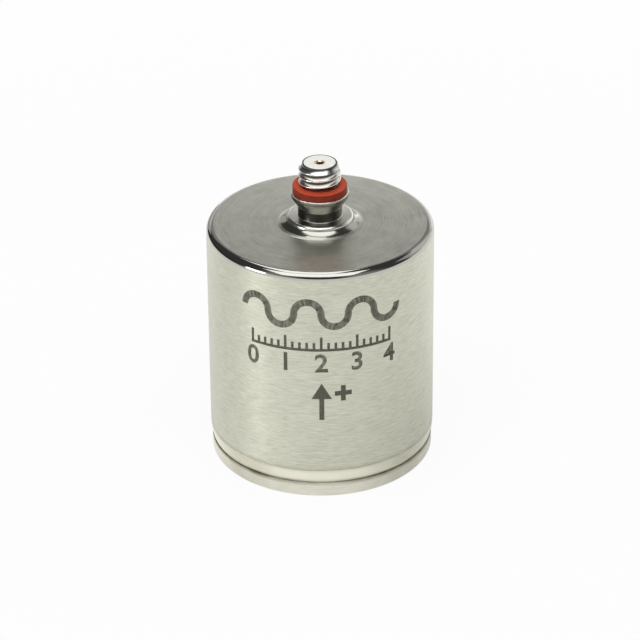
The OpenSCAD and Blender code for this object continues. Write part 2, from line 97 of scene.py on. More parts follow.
# A mix node's colours go by number, because its sockets of other kinds have the same names
MIX_FIRST = 6
MIX_SECOND = 7
MIX_RESULT = 2


class Grain(Enum):
    """How the tool marks of a metal surface run."""

    AROUND = "around"
    FACED = "faced"
    NONE = "none"


class CaseZone(IntEnum):
    """The parts of the case that have finishes of their own."""

    SIDE = 0
    EDGE = 1
    TOP = 2
    BOSS = 3


class ShellZone(IntEnum):
    """The parts of the connector's shell that have materials of their own: the land, cone and neck are darker
    copies of its steel, as painted shade.
    """

    BODY = 0
    THREAD = 1
    NECK = 2
    FLANGE = 3
    LAND = 4
    CONE = 5


class RingZone(IntEnum):
    """The parts of the sealing ring: the faces have the rubber's colour, the sides a darker copy of it as
    painted shade.
    """

    FACE = 0
    SIDE = 1


class Nodes:
    """A node tree, with short calls to add and join nodes."""

    def __init__(self, tree: bpy.types.NodeTree) -> None:
        """Take the tree.

        Args:
            tree: The tree that the nodes are added to.
        """
        self.tree = tree

    def node(self, kind: str, **inputs: object) -> bpy.types.Node:
        """Add a node.

        Args:
            kind: Blender's name of the node type.
            inputs: Values, or sockets to link, by input name with underscores for spaces.

        Returns:
            The new node.
        """
        made = self.tree.nodes.new(kind)
        for name, value in inputs.items():
            self.feed(made, name.replace("_", " "), value)
        return made

    def feed(self, node: bpy.types.Node, name: str | int, value: object) -> None:
        """Set an input of a node, or link a socket to it.

        Args:
            node: The node that takes the value.
            name: Name or index of its input.
            value: A plain value, or another node's output socket.
        """
        if isinstance(value, Socket):
            self.tree.links.new(value, node.inputs[name])
        else:
            node.inputs[name].default_value = value

    def math(self, operation: str, first: object, second: object = 0.0) -> Socket:
        """Join two values with a maths node.

        Args:
            operation: Blender's name of the operation.
            first: First value or socket.
            second: Second value or socket.

        Returns:
            The result's socket.
        """
        made = self.tree.nodes.new("ShaderNodeMath")
        made.operation = operation
        self.feed(made, 0, first)
        self.feed(made, 1, second)
        return made.outputs[0]

    def between(
        self,
        value: Socket,
        low: object,
        high: object,
        start: float = PATTERN_ENDS[0],
        end: float = PATTERN_ENDS[1],
    ) -> Socket:
        """Spread a value's range over two others.

        Args:
            value: The value.
            low: Result at the range's start, a number or a socket.
            high: Result at the range's end, a number or a socket.
            start: Start of the range, by default a noise pattern's usual low end.
            end: End of the range, by default a noise pattern's usual high end.

        Returns:
            The spread value's socket.
        """
        made = self.node("ShaderNodeMapRange", Value=value)
        for name, limit in (("From Min", start), ("From Max", end), ("To Min", low), ("To Max", high)):
            self.feed(made, name, limit)
        return made.outputs["Result"]


class Shader(Nodes):
    """A material's nodes, which end in one principled shader."""

    def __init__(self, name: str) -> None:
        """Start an empty material.

        Args:
            name: Name of the material.
        """
        self.material = bpy.data.materials.new(name)
        self.material.use_nodes = True
        super().__init__(self.material.node_tree)
        self.principled = self.tree.nodes["Principled BSDF"]

    def place(self, scale: Triple) -> Socket:
        """Give the object's own coordinates, scaled.

        Args:
            scale: Factor on each axis, per metre.

        Returns:
            The scaled vector's socket.
        """
        coordinates = self.node("ShaderNodeTexCoord")
        mapping = self.node("ShaderNodeMapping", Vector=coordinates.outputs["Object"], Scale=scale)
        return mapping.outputs["Vector"]

    def distance(self, spot: Pair = (0.0, 0.0)) -> Socket:
        """Give the level distance from an upright line.

        Args:
            spot: Where the line stands, in metres, by default on the object's axis.

        Returns:
            The distance's socket, in metres.
        """
        away = self.node("ShaderNodeVectorMath")
        away.operation = "DISTANCE"
        self.feed(away, 0, self.place((1.0, 1.0, 0.0)))
        self.feed(away, 1, (*spot, 0.0))
        return away.outputs["Value"]

    def noise(self, vector: Socket, detail: float, roughness: float) -> Socket:
        """Add a noise pattern of unit scale.

        Args:
            vector: Where the pattern is read.
            detail: Number of finer layers.
            roughness: Share of the finer layers.

        Returns:
            The pattern's value, about 0.5 in the middle.
        """
        made = self.node("ShaderNodeTexNoise", Vector=vector, Scale=1.0, Detail=detail, Roughness=roughness)
        return made.outputs["Fac"]

    def mottled(self, pattern: Socket, colour: Colour, spread: float) -> Socket:
        """Let a pattern darken and lighten a colour.

        Args:
            pattern: The pattern.
            colour: The colour in its middle, linear.
            spread: Share of the colour that its ends take away and add.

        Returns:
            The colour's socket.
        """
        ramp = self.node("ShaderNodeValToRGB", Fac=pattern)
        for stop, end, factor in zip(ramp.color_ramp.elements, PATTERN_ENDS, (1.0 - spread, 1.0 + spread)):
            stop.position = end
            stop.color = (*(min(channel * factor, 1.0) for channel in colour), 1.0)
        return ramp.outputs["Color"]

    def uneven(self, pattern: Socket, roughness: float) -> Socket:
        """Let a pattern lower and raise a roughness.

        Args:
            pattern: The pattern.
            roughness: The roughness in its middle.

        Returns:
            The roughness's socket.
        """
        spread = roughness * ROUGHNESS_SPREAD
        return self.between(pattern, roughness - spread, roughness + spread)

    def relief(self, value: Socket, strength: float, depth_mm: float) -> None:
        """Raise the surface by a pattern.

        Args:
            value: The pattern.
            strength: How much of the relief shows.
            depth_mm: Height between the pattern's ends.
        """
        bump = self.node("ShaderNodeBump", Height=value, Strength=strength, Distance=depth_mm * MM)
        self.feed(self.principled, "Normal", bump.outputs["Normal"])


@dataclass(frozen=True)
class MetalFinish:
    """A metal surface with tool marks and a faint cloudiness."""

    name: str
    colour: Colour
    roughness: float
    grain: Grain = Grain.NONE
    streak: float = 0.06
    cloud: float = 0.45
    relief_mm: float = 0.002
    grain_pitch_mm: float = 0.06
    grain_length_mm: float = 12.0
    stretch: float = 0.0
    # Painted shade towards a thread's root: the colour falls to root_shade from the crest radius to the root
    # radius.
    root_r_mm: float = 0.0
    crest_r_mm: float = 0.0
    root_shade: float = 1.0
    # A tint along a weld's seams, from the mesh's seam attribute: heat tint and painted shade.
    seam_tint: Colour | None = None
    seam_rough: float = 0.3

    def make(self) -> bpy.types.Material:
        """Build the material.

        Returns:
            The finished material.
        """
        shader = Shader(self.name)
        surface = shader.principled
        shader.feed(surface, "Metallic", 1.0)
        grain = shader.noise(self.grain_vector(shader), *GRAIN_LAYERS)
        cloud = shader.noise(shader.place(CLOUD_PER_M), *CLOUD_LAYERS)
        grain_share = shader.math("MULTIPLY", grain, 1.0 - self.cloud)
        cloud_share = shader.math("MULTIPLY", cloud, self.cloud)
        pattern = shader.math("ADD", grain_share, cloud_share)
        colour = shader.mottled(pattern, self.colour, self.streak)
        shader.feed(surface, "Base Color", self.darkened(shader, colour))
        roughness = shader.uneven(pattern, self.roughness)
        if self.seam_tint is not None:
            dulled = shader.math("MULTIPLY", self.seam(shader), self.seam_rough)
            roughness = shader.math("ADD", roughness, dulled)
        shader.feed(surface, "Roughness", roughness)
        shader.relief(grain, METAL_RELIEF, self.relief_mm)
        if self.stretch > 0.0:
            tangent = shader.node("ShaderNodeTangent")
            tangent.direction_type = "RADIAL"
            tangent.axis = "Z"
            shader.feed(surface, "Tangent", tangent.outputs["Tangent"])
            shader.feed(surface, "Anisotropic", self.stretch)
            shader.feed(surface, "Anisotropic Rotation", QUARTER_TURN)
        return shader.material

    def darkened(self, shader: Shader, colour: Socket) -> Socket:
        """Darken the colour along a weld's seams, as heat tint and painted shade, and towards a thread's
        root, as painted shade, where they are given.

        Args:
            shader: The material that is being built.
            colour: The colour's socket.

        Returns:
            The colour's socket, darkened or as it was.
        """
        if self.seam_tint is not None:
            colour = self.seamed(shader, colour)
        if self.crest_r_mm == 0.0:
            return colour
        amount = shader.between(
            shader.distance(), self.root_shade, 1.0, self.root_r_mm * MM, self.crest_r_mm * MM
        )
        scaled = shader.node("ShaderNodeVectorMath")
        scaled.operation = "SCALE"
        shader.feed(scaled, 0, colour)
        shader.feed(scaled, "Scale", amount)
        return scaled.outputs["Vector"]

    def seamed(self, shader: Shader, colour: Socket) -> Socket:
        """Tint the colour by the mesh's own seam attribute, unevenly: heat tint, and painted shade in the
        weld's grooves and on its diagonal sides.

        Args:
            shader: The material that is being built.
            colour: The colour's socket.

        Returns:
            The tinted colour's socket.
        """
        patches = shader.between(shader.noise(shader.place(HEAT_AND_SHADE_PER_M), *HEAT_AND_SHADE_LAYERS), *HEAT_AND_SHADE_ENDS)
        mix = shader.node("ShaderNodeMix")
        mix.data_type = "RGBA"
        mix.blend_type = "MULTIPLY"
        shader.feed(mix, 0, shader.math("MULTIPLY", self.seam(shader), patches))
        shader.feed(mix, MIX_FIRST, colour)
        shader.feed(mix, MIX_SECOND, (*self.seam_tint, 1.0))
        return mix.outputs[MIX_RESULT]

    def seam(self, shader: Shader) -> Socket:
        """Give the mesh's own seam attribute.

        Args:
            shader: The material that is being built.

        Returns:
            The attribute's socket.
        """
        attribute = shader.node("ShaderNodeAttribute")
        attribute.attribute_name = SEAM
        return attribute.outputs["Fac"]

    def grain_vector(self, shader: Shader) -> Socket:
        """Choose where the grain is read, so that it runs along the tool marks.

        Args:
            shader: The material that is being built.

        Returns:
            The vector's socket.
        """
        along = 1.0 / (self.grain_length_mm * MM)
        across = 1.0 / (self.grain_pitch_mm * MM)
        if self.grain is Grain.AROUND:
            return shader.place((along, along, across))
        if self.grain is Grain.FACED:
            rings = shader.math("MULTIPLY", shader.distance(), across)
            parts = shader.node("ShaderNodeSeparateXYZ", Vector=shader.place((along, along, along)))
            joined = shader.node("ShaderNodeCombineXYZ", X=parts.outputs["X"], Y=parts.outputs["Y"], Z=rings)
            return joined.outputs["Vector"]
        return shader.place(SPECKLE_PER_M)


@dataclass(frozen=True)
class PlainFinish:
    """A plastic, rubber, ceramic or lacquered surface with a fine mottle."""

    name: str
    colour: Colour
    roughness: float
    mottle: float = 0.06
    mottle_per_mm: float = 1.5
    relief_mm: float = 0.004
    sheen: float = 0.5

    def make(self) -> bpy.types.Material:
        """Build the material.

        Returns:
            The finished material.
        """
        shader = Shader(self.name)
        surface = shader.principled
        scale = self.mottle_per_mm / MM
        pattern = shader.noise(shader.place((scale, scale, scale)), *MOTTLE_LAYERS)
        shader.feed(surface, "Base Color", shader.mottled(pattern, self.colour, self.mottle))
        shader.feed(surface, "Roughness", shader.uneven(pattern, self.roughness))
        shader.feed(surface, "Specular IOR Level", self.sheen)
        shader.relief(pattern, PLAIN_RELIEF, self.relief_mm)
        return shader.material


Finish = MetalFinish | PlainFinish

# Tint along the weld's seams: partly heat tint, partly painted shade in the grooves and on the diagonal
# sides.
SEAM_TINT = (0.27, 0.255, 0.19)
CASE_SIDE = MetalFinish(
    "case_side_steel",
    (0.675, 0.675, 0.56),
    0.34,
    Grain.AROUND,
    streak=0.26,
    cloud=0.25,
    grain_pitch_mm=0.1,
    grain_length_mm=1.2,
    stretch=0.7,
    seam_tint=SEAM_TINT,
)
CASE_TOP = MetalFinish(
    "case_top_steel",
    (0.65, 0.65, 0.575),
    0.33,
    Grain.FACED,
    streak=0.3,
    grain_pitch_mm=0.12,
    grain_length_mm=3.0,
)
CASE_EDGE = MetalFinish("case_edge_steel", (0.55, 0.545, 0.5), 0.09, Grain.AROUND, streak=0.03)
BOSS_STEEL = MetalFinish("boss_steel", (0.54, 0.535, 0.475), 0.14, Grain.AROUND, streak=0.05)
WELD_STEEL = MetalFinish(
    "weld_steel",
    (0.95, 0.93, 0.78),
    0.28,
    Grain.AROUND,
    streak=0.05,
    grain_length_mm=1.5,
    seam_tint=SEAM_TINT,
)
BASE_STEEL = MetalFinish(
    "base_steel",
    (0.84, 0.82, 0.7),
    0.3,
    Grain.AROUND,
    streak=0.2,
    grain_pitch_mm=0.12,
    grain_length_mm=3.0,
    seam_tint=SEAM_TINT,
)
CONNECTOR_STEEL = MetalFinish("connector_steel", (0.96, 0.95, 0.88), 0.2, Grain.AROUND, streak=0.06)
FLANGE_STEEL = MetalFinish("flange_steel", (0.94, 0.93, 0.84), 0.24, Grain.FACED, streak=0.06)
# Darker copies of the connector's steel for the land under the ring, the cone and the neck: painted shade.
LAND_STEEL_PAINTED_SHADE = MetalFinish("land_steel", (0.32, 0.315, 0.275), 0.22, Grain.AROUND, streak=0.08)
CONE_STEEL_PAINTED_SHADE = MetalFinish("cone_steel", (0.21, 0.207, 0.18), 0.24, Grain.AROUND, streak=0.1)
NECK_STEEL_PAINTED_SHADE = MetalFinish("neck_steel", (0.1, 0.098, 0.086), 0.24, Grain.AROUND, streak=0.1)
# The thread darkens from its crest to its root: painted shade in the valleys.
THREAD_STEEL = MetalFinish(
    "thread_steel", (0.96, 0.95, 0.9), 0.22, streak=0.04, root_r_mm=1.93, crest_r_mm=2.14, root_shade=0.08
)
GOLD_PLATE = MetalFinish("gold_plate", (0.95, 0.8, 0.55), 0.3)
WHITE_INSULATOR = PlainFinish("white_insulator", (0.88, 0.87, 0.82), 0.42, mottle=0.03)
RED_RUBBER = PlainFinish("red_rubber", (0.48, 0.06, 0.024), 0.5, mottle=0.1, sheen=0.25)
# A darker copy of the red rubber for the ring's sides: painted shade.
RED_RUBBER_PAINTED_SHADE = PlainFinish("red_rubber_side", (0.27, 0.034, 0.014), 0.5, mottle=0.2, sheen=0.25)
ETCHED_GREY = PlainFinish("etched_grey", (0.34, 0.335, 0.265), 0.6, mottle=0.08, mottle_per_mm=6.0, sheen=0.2)

CASE_FINISHES: dict[CaseZone, Finish] = {
    CaseZone.SIDE: CASE_SIDE,
    CaseZone.EDGE: CASE_EDGE,
    CaseZone.TOP: CASE_TOP,
    CaseZone.BOSS: BOSS_STEEL,
}
SHELL_FINISHES: dict[ShellZone, Finish] = {
    ShellZone.BODY: CONNECTOR_STEEL,
    ShellZone.THREAD: THREAD_STEEL,
    ShellZone.NECK: NECK_STEEL_PAINTED_SHADE,
    ShellZone.FLANGE: FLANGE_STEEL,
    ShellZone.LAND: LAND_STEEL_PAINTED_SHADE,
    ShellZone.CONE: CONE_STEEL_PAINTED_SHADE,
}
RING_FINISHES: dict[RingZone, Finish] = {
    RingZone.FACE: RED_RUBBER,
    RingZone.SIDE: RED_RUBBER_PAINTED_SHADE,
}
INSIDE_FINISHES: dict[str, Finish] = {
    finish.name: finish
    for finish in (
        PlainFinish("sealing_glass", (0.06, 0.1, 0.12), 0.12, mottle=0.15),
        PlainFinish("piezo_ceramic", (0.3, 0.28, 0.22), 0.6, mottle=0.1, mottle_per_mm=4.0),
        PlainFinish("white_ceramic", (0.84, 0.81, 0.72), 0.5, mottle=0.04),
        MetalFinish("spring_bronze", (0.62, 0.38, 0.2), 0.25, Grain.AROUND),
        MetalFinish("turned_brass", (0.7, 0.53, 0.22), 0.22, Grain.AROUND),
        MetalFinish("screw_steel", (0.5, 0.5, 0.5), 0.25, Grain.AROUND),
        PlainFinish("board_laminate", (0.02, 0.16, 0.06), 0.35, mottle=0.12),
        PlainFinish("black_moulding", (0.018, 0.018, 0.02), 0.55, mottle=0.2, mottle_per_mm=6.0),
        PlainFinish("resistor_black", (0.02, 0.02, 0.024), 0.3, mottle=0.2),
        PlainFinish("capacitor_tan", (0.42, 0.27, 0.14), 0.5, mottle=0.1),
        PlainFinish("capacitor_yellow", (0.68, 0.38, 0.03), 0.5, mottle=0.08),
        MetalFinish("solder", (0.62, 0.63, 0.64), 0.18),
        PlainFinish("red_insulation", (0.4, 0.02, 0.015), 0.4),
        PlainFinish("white_insulation", (0.8, 0.8, 0.77), 0.4, mottle=0.03),
    )
}


@dataclass(frozen=True)
class Corner:
    """A corner of a turned section: radius and height in millimetres, and how much of it is rounded off."""

    r: float
    z: float
    round: float = 0.0


def bowed(start: Corner, end: Corner, bow_deg: float, steps: int = 8) -> list[Corner]:
    """Give the corners of an arc between two corners.

    Args:
        start: First corner.
        end: Last corner.
        bow_deg: Half of what the arc's heading turns by, anticlockwise.
        steps: Straight steps in the arc.

    Returns:
        All the corners, the first and last included.
    """
    chord = Vector((end.r - start.r, end.z - start.z))
    lean = math.atan2(chord.y, chord.x)
    bow = math.radians(bow_deg)
    inner = []
    for step in range(1, steps):
        reach = chord.length * math.sin(bow * step / steps) / math.sin(bow)
        heading = lean + bow * (step / steps - 1.0)
        inner.append(Corner(start.r + reach * math.cos(heading), start.z + reach * math.sin(heading)))
    return [start, *inner, end]


def round_off(mesh: Mesh, points: list[bmesh.types.BMVert], radius: float, segments: int) -> None:
    """Round some corners of a flat outline.

    Args:
        mesh: The mesh that holds the outline.
        points: The corners.
        radius: Radius of the rounding, in millimetres.
        segments: Straight steps in each rounding.
    """
    bmesh.ops.bevel(
        mesh,
        geom=points,
        offset=radius * MM,
        offset_type="OFFSET",
        segments=segments,
        profile=0.5,
        affect="VERTICES",
        material=-1,
    )


@dataclass
class Section:
    """The outline of a turned piece, in the plane through its axis."""

    corners: Sequence[Corner]
    closed: bool = True
    round_segments: int = 4
    fine_segments: int = 10
    fine_from: float = 0.1

    def outline(self, mesh: Mesh) -> None:
        """Draw the outline as edges, with its corners rounded.

        Args:
            mesh: The mesh that takes the edges.
        """
        points = [mesh.verts.new((corner.r * MM, 0.0, corner.z * MM)) for corner in self.corners]
        for start, end in zip(points, points[1:]):
            mesh.edges.new((start, end))
        if self.closed:
            mesh.edges.new((points[-1], points[0]))
        for point, corner in zip(points, self.corners):
            if corner.round > 0.0:
                segments = self.fine_segments if corner.round > self.fine_from else self.round_segments
                round_off(mesh, [point], corner.round, segments)

    def turned(self, steps: int) -> Mesh:
        """Spin the outline once about the axis.

        Args:
            steps: Faces around the axis.

        Returns:
            The closed mesh.
        """
        mesh = bmesh.new()
        self.outline(mesh)
        bmesh.ops.spin(
            mesh,
            geom=mesh.verts[:] + mesh.edges[:],
            cent=(0.0, 0.0, 0.0),
            axis=(0.0, 0.0, 1.0),
            angle=math.tau,
            steps=steps,
            use_merge=True,
        )
        bmesh.ops.remove_doubles(mesh, verts=mesh.verts[:], dist=MERGE_REACH)
        bmesh.ops.recalc_face_normals(mesh, faces=mesh.faces[:])
        return mesh


def add_object(name: str, mesh: Mesh, finishes: Sequence[bpy.types.Material] = ()) -> bpy.types.Object:
    """Turn a mesh into an object of the scene.

    Args:
        name: Name of the object.
        mesh: Its mesh, which is used up.
        finishes: Its materials, in the order of the faces' material numbers.

    Returns:
        The new object.
    """
    data = bpy.data.meshes.new(name)
    mesh.to_mesh(data)
    mesh.free()
    for finish in finishes:
        data.materials.append(finish)
    made = bpy.data.objects.new(name, data)
    bpy.context.scene.collection.objects.link(made)
    return made


def add_piece(
    name: str,
    mesh: Mesh,
    finishes: Sequence[Finish],
    replaces: str | None = None,
    crease_deg: float = 32.0,
) -> None:
    """Turn a mesh into a shown piece of the part.

    Args:
        name: Name of the piece.
        mesh: Its mesh, which is used up.
        finishes: Its finishes, in the order of the faces' material numbers.
        replaces: The solid that it stands for, if any.
        crease_deg: Edges sharper than this stay sharp.
    """
    piece = add_object(name, mesh, [finish.make() for finish in finishes])
    polygons = piece.data.polygons
    polygons.foreach_set("use_smooth", [True] * len(polygons))
    piece.data.set_sharp_from_angle(angle=math.radians(crease_deg))
    weighting = piece.modifiers.new("weighted_normals", "WEIGHTED_NORMAL")
    weighting.keep_sharp = True
    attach(piece, BODY)
    if replaces is not None:
        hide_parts(replaces)
    LOG.info("%s: %d faces", name, len(polygons))


def box_mm(node: str) -> tuple[Vector, Vector]:
    """Give a solid's lowest and highest corners in millimetres.

    Args:
        node: Name of the solid.

    Returns:
        Its lowest and highest corner.
    """
    low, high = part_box(node)
    return Vector(low) / MM, Vector(high) / MM


def turn_from_front(point: Vector) -> float:
    """Give a point's angle about the axis, from the front towards the right.

    Args:
        point: The point.

    Returns:
        The angle in radians.
    """
    return math.atan2(point.x, -point.y)


@dataclass
class Turning:
    """What a thread's ends are turned to: two heights, and the radius at which a chamfer starts at each."""

    low_z: float
    high_z: float
    low_r: float
    high_r: float
    inward: bool = False

    def hold(self, vert: bmesh.types.BMVert) -> None:
        """Move a point that lies beyond the form back to it.

        Args:
            vert: The point, in metres.
        """
        z = min(max(vert.co.z / MM, self.low_z), self.high_z)
        vert.co.z = z * MM
        r = math.hypot(vert.co.x, vert.co.y) / MM
        if self.inward:
            limit = max(self.low_r - (z - self.low_z), self.high_r - (self.high_z - z))
            wanted = max(r, limit)
        else:
            limit = min(self.low_r + (z - self.low_z), self.high_r + (self.high_z - z))
            wanted = min(r, limit)
        vert.co.xy *= wanted / r


@dataclass
class Thread:
    """A helical ridge with a 60 degree section, sunk a little into the wall that carries it."""

    root_r: float
    crest_r: float
    low_z: float
    high_z: float
    pitch: float = 25.4 / 32
    start_deg: float = 0.0
    steps_per_turn: int = 96
    flank_deg: float = 30.0
    crest_flat: float = 0.16
    crest_round: float = 0.09
    crest_segments: int = 4

    def ridge(self, turning: Turning) -> Mesh:
        """Spin the ridge's section along the helix, and turn its ends down.

        Args:
            turning: The form that the ridge is turned to at its ends.

        Returns:
            The closed ridge.
        """
        flank = math.tan(math.radians(self.flank_deg))
        root_half = self.crest_flat / 2 + abs(self.crest_r - self.root_r) * flank
        turns = (self.high_z - self.low_z - 2 * root_half) / self.pitch
        steps = round(turns * self.steps_per_turn)
        first_z = self.low_z + root_half
        section = [
            (self.root_r, -root_half),
            (self.crest_r, -self.crest_flat / 2),
            (self.crest_r, self.crest_flat / 2),
            (self.root_r, root_half),
        ]
        mesh = bmesh.new()
        corners = [mesh.verts.new((r * MM, 0.0, (first_z + z) * MM)) for r, z in section]
        mesh.faces.new(corners)
        round_off(mesh, corners[1:3], self.crest_round, self.crest_segments)
        bmesh.ops.spin(
            mesh,
            geom=mesh.faces[:] + mesh.edges[:] + mesh.verts[:],
            cent=(0.0, 0.0, 0.0),
            axis=(0.0, 0.0, 1.0),
            dvec=(0.0, 0.0, turns * self.pitch * MM / steps),
            angle=turns * math.tau,
            steps=steps,
        )
        for vert in mesh.verts:
            turning.hold(vert)
        turn = Matrix.Rotation(math.radians(self.start_deg), 4, "Z")
        bmesh.ops.transform(mesh, matrix=turn, verts=mesh.verts[:])
        bmesh.ops.recalc_face_normals(mesh, faces=mesh.faces[:])
        return mesh


def join(target: Mesh, added: Mesh) -> None:
    """Copy one mesh into another, and free it.

    Args:
        target: The mesh that grows.
        added: The mesh that is copied in.
    """
    scratch = bpy.data.meshes.new("scratch")
    added.to_mesh(scratch)
    added.free()
    target.from_mesh(scratch)
    bpy.data.meshes.remove(scratch)


def cut_away(body: Mesh, tool: Mesh) -> Mesh:
    """Cut one closed mesh out of another.

    Args:
        body: The mesh that is cut, and used up.
        tool: The mesh that is taken away, and used up.

    Returns:
        What is left of the body.
    """
    solids = [add_object("cut_body", body), add_object("cut_tool", tool)]
    cut = solids[0].modifiers.new("cut", "BOOLEAN")
    cut.operation = "DIFFERENCE"
    cut.object = solids[1]
    left = bmesh.new()
    left.from_object(solids[0], bpy.context.evaluated_depsgraph_get())
    for solid in solids:
        data = solid.data
        bpy.data.objects.remove(solid)
        bpy.data.meshes.remove(data)
    return left


@dataclass
class Housing:
    """The case, the weld bead and the base."""

    wall: float = 1.0
    top_t: float = 1.6
    edge_r: float = 0.8
    corner_r: float = 0.5
    flat_top_z: float = 28.2
    boss_r: float = 3.8
    boss_foot_r: float = 4.85
    boss_polish_r: float = 4.4
    boss_round: float = 0.03
    boss_hollow_deg: float = 11.0
    spigot_hole_r: float = 2.95
    weld_depth: float = 0.4
    weld_root: float = 0.15
    seam_round: float = 0.02
    bead_sink: float = 0.02
    bead_swell_at: float = 0.4
    bead_swell_round: float = 0.6
    bead_round: float = 0.06
    seam_reach: float = 0.5
    # Darkening along the weld's seams: partly heat tint, partly painted shade in the grooves and on the
    # diagonal sides; heat_join is heat tint where the weld began and ended.
    wall_heat: float = 0.28
    bead_heat: float = 0.5
    groove_heat: float = 1.0
    bead_dull: float = 0.42
    base_dull: float = 0.28
    dull_focus: int = 4
    heat_front: float = 0.55
    heat_diagonal: float = 0.45
    heat_join: float = 0.6
    weld_join_deg: float = -36.0
    weld_join_spread_deg: float = 9.0
    waver_reach: float = 0.6
    waver_waves: Sequence[tuple[float, int, float]] = ((0.02, 5, 0.6), (0.012, 13, 0.0))
    foot_chamfer: float = 0.25
    foot_round: float = 0.06
    foot_edge_round: float = 0.1
    lip_round: float = 0.06
    slip: float = 0.05
    stop_gap: float = 0.4
    stop_inset: float = 0.3
    mass_w: float = 2.1
    deck_round: float = 0.3
    post_r: float = 3.6
    post_round: float = 0.6
    clamp_hole_r: float = 1.05
    clamp_hole_depth: float = 3.0
    hole_depth: float = 5.2
    drill_point: float = 1.2
    countersink: float = 0.55
    mouth_round: float = 0.03
    mouth_gap: float = 0.05
    thread_minor_r: float = 2.02
    thread_major_r: float = 2.42
    thread_end_z: float = 4.4
    thread_runout: float = 0.4
    thread_overrun: float = 0.5
    thread_sink: float = 0.03
    standoffs: int = 3
    standoff_edge: float = 1.6
    stud_l: float = 1.5
    stud_hole_r: float = 0.65
    stud_hole_depth: float = 2.0
    stud_hole_steps: int = 32
    steps: int = 224

    def build(self) -> None:
        """Build and dress the pieces."""
        self.build_case()
        self.build_weld()
        self.build_base()

    def build_case(self) -> None:
        """Turn the case, and give its side, edge and top their own finishes."""
        low, high = box_mm("case")
        case_r = high.x
        weld_top_z = box_mm("closing_weld")[1].z
        inner_top_z = self.flat_top_z - self.top_t
        section = Section(
            [
                Corner(case_r - self.wall, low.z),
                Corner(case_r - self.weld_depth, low.z),
                Corner(case_r - self.weld_depth, weld_top_z),
                Corner(case_r, weld_top_z, self.seam_round),
                Corner(case_r, weld_top_z + self.seam_reach),
                Corner(case_r, weld_top_z + 2 * self.seam_reach),
                Corner(case_r, self.flat_top_z, self.edge_r),
                *bowed(
                    Corner(self.boss_foot_r, self.flat_top_z),
                    Corner(self.boss_r, high.z, self.boss_round),
                    -self.boss_hollow_deg,
                ),
                Corner(self.spigot_hole_r, high.z),
                Corner(self.spigot_hole_r, inner_top_z),
                Corner(case_r - self.wall, inner_top_z, self.corner_r),
            ]
        )
        mesh = section.turned(self.steps)
        for face in mesh.faces:
            face.material_index = self.case_zone(face)
        # Darkening of the case's wall along the weld's upper line: heat tint and painted shade.
        self.mark_seams(mesh, {weld_top_z: self.wall_heat})
        self.waver(mesh, weld_top_z, case_r)
        finishes = [CASE_FINISHES[zone] for zone in CaseZone]
        add_piece("case_shell", mesh, finishes, replaces="case")

    def build_weld(self) -> None:
        """Turn the bead, and let its edges run a little unevenly, as a weld does."""
        low, high = box_mm("closing_weld")
        case_r = box_mm("case")[1].x
        root_r = case_r - self.weld_depth
        bead_r = case_r - self.bead_sink
        swell_z = low.z + self.bead_swell_at * (high.z - low.z)
        section = Section(
            [
                Corner(root_r, low.z),
                Corner(root_r + self.weld_root, low.z),
                Corner(bead_r, swell_z, self.bead_swell_round),
                Corner(bead_r, high.z, self.bead_round),
                Corner(root_r, high.z),
            ]
        )
        mesh = section.turned(self.steps)
        # Darkening along the bead's top, its lower groove and its diagonal sides: heat tint and painted
        # shade.
        self.mark_seams(mesh, {high.z: self.bead_heat, low.z: self.groove_heat}, self.bead_dull)
        self.waver(mesh, high.z, case_r)
        add_piece("weld_bead", mesh, [WELD_STEEL], replaces="closing_weld")

    def mark_seams(self, mesh: Mesh, seams: dict[float, float], between: float = 0.0) -> None:
        """Write into the mesh how dull and dark each point is along the weld's seams: partly heat tint,
        partly painted shade.

        Args:
            mesh: A turned piece that meets the seams.
            seams: The dullness and darkening of each seam, by its height. It is less at the front and the
                sides,
            more at the diagonals as painted shade, and more where the weld began and ended as heat tint.
            between: The darkening between the seams, painted shade at the diagonals and none at the front and
                the sides.
        """
        layer = mesh.verts.layers.float.new(SEAM)
        for vert in mesh.verts:
            turn = turn_from_front(vert.co)
            diagonal = abs(math.sin(2.0 * turn))
            off_join_deg = abs(math.degrees(turn) - self.weld_join_deg)
            join_share = max(0.0, 1.0 - off_join_deg / self.weld_join_spread_deg)
            # The diagonal share is painted shade on the sides; the join share is heat tint where the weld
            # began and ended.
            heat_and_shade = self.heat_front + self.heat_diagonal * diagonal + self.heat_join * join_share
            z = vert.co.z / MM
            near = max(
                dullness * (1.0 - abs(z - seam_z) / self.seam_reach) for seam_z, dullness in seams.items()
            )
            # Between the seams the darkening is painted shade on the diagonal sides.
            vert[layer] = max(between * diagonal**self.dull_focus, near * heat_and_shade)

    def waver(self, mesh: Mesh, line_z: float, case_r: float) -> None:
        """Move the points on the weld's upper line up and down.

        Args:
            mesh: A turned piece that meets the line.
            line_z: Height of the line.
            case_r: Radius of the case.
        """
        inner_r = (case_r - self.weld_depth) * MM - MERGE_REACH
        for vert in mesh.verts:
            share = 1.0 - abs(vert.co.z / MM - line_z) / self.waver_reach
            if share > 0.0 and vert.co.xy.length > inner_r:
                turn = turn_from_front(vert.co)
                waves = (height * math.sin(count * turn + phase) for height, count, phase in self.waver_waves)
                vert.co.z += share * sum(waves) * MM

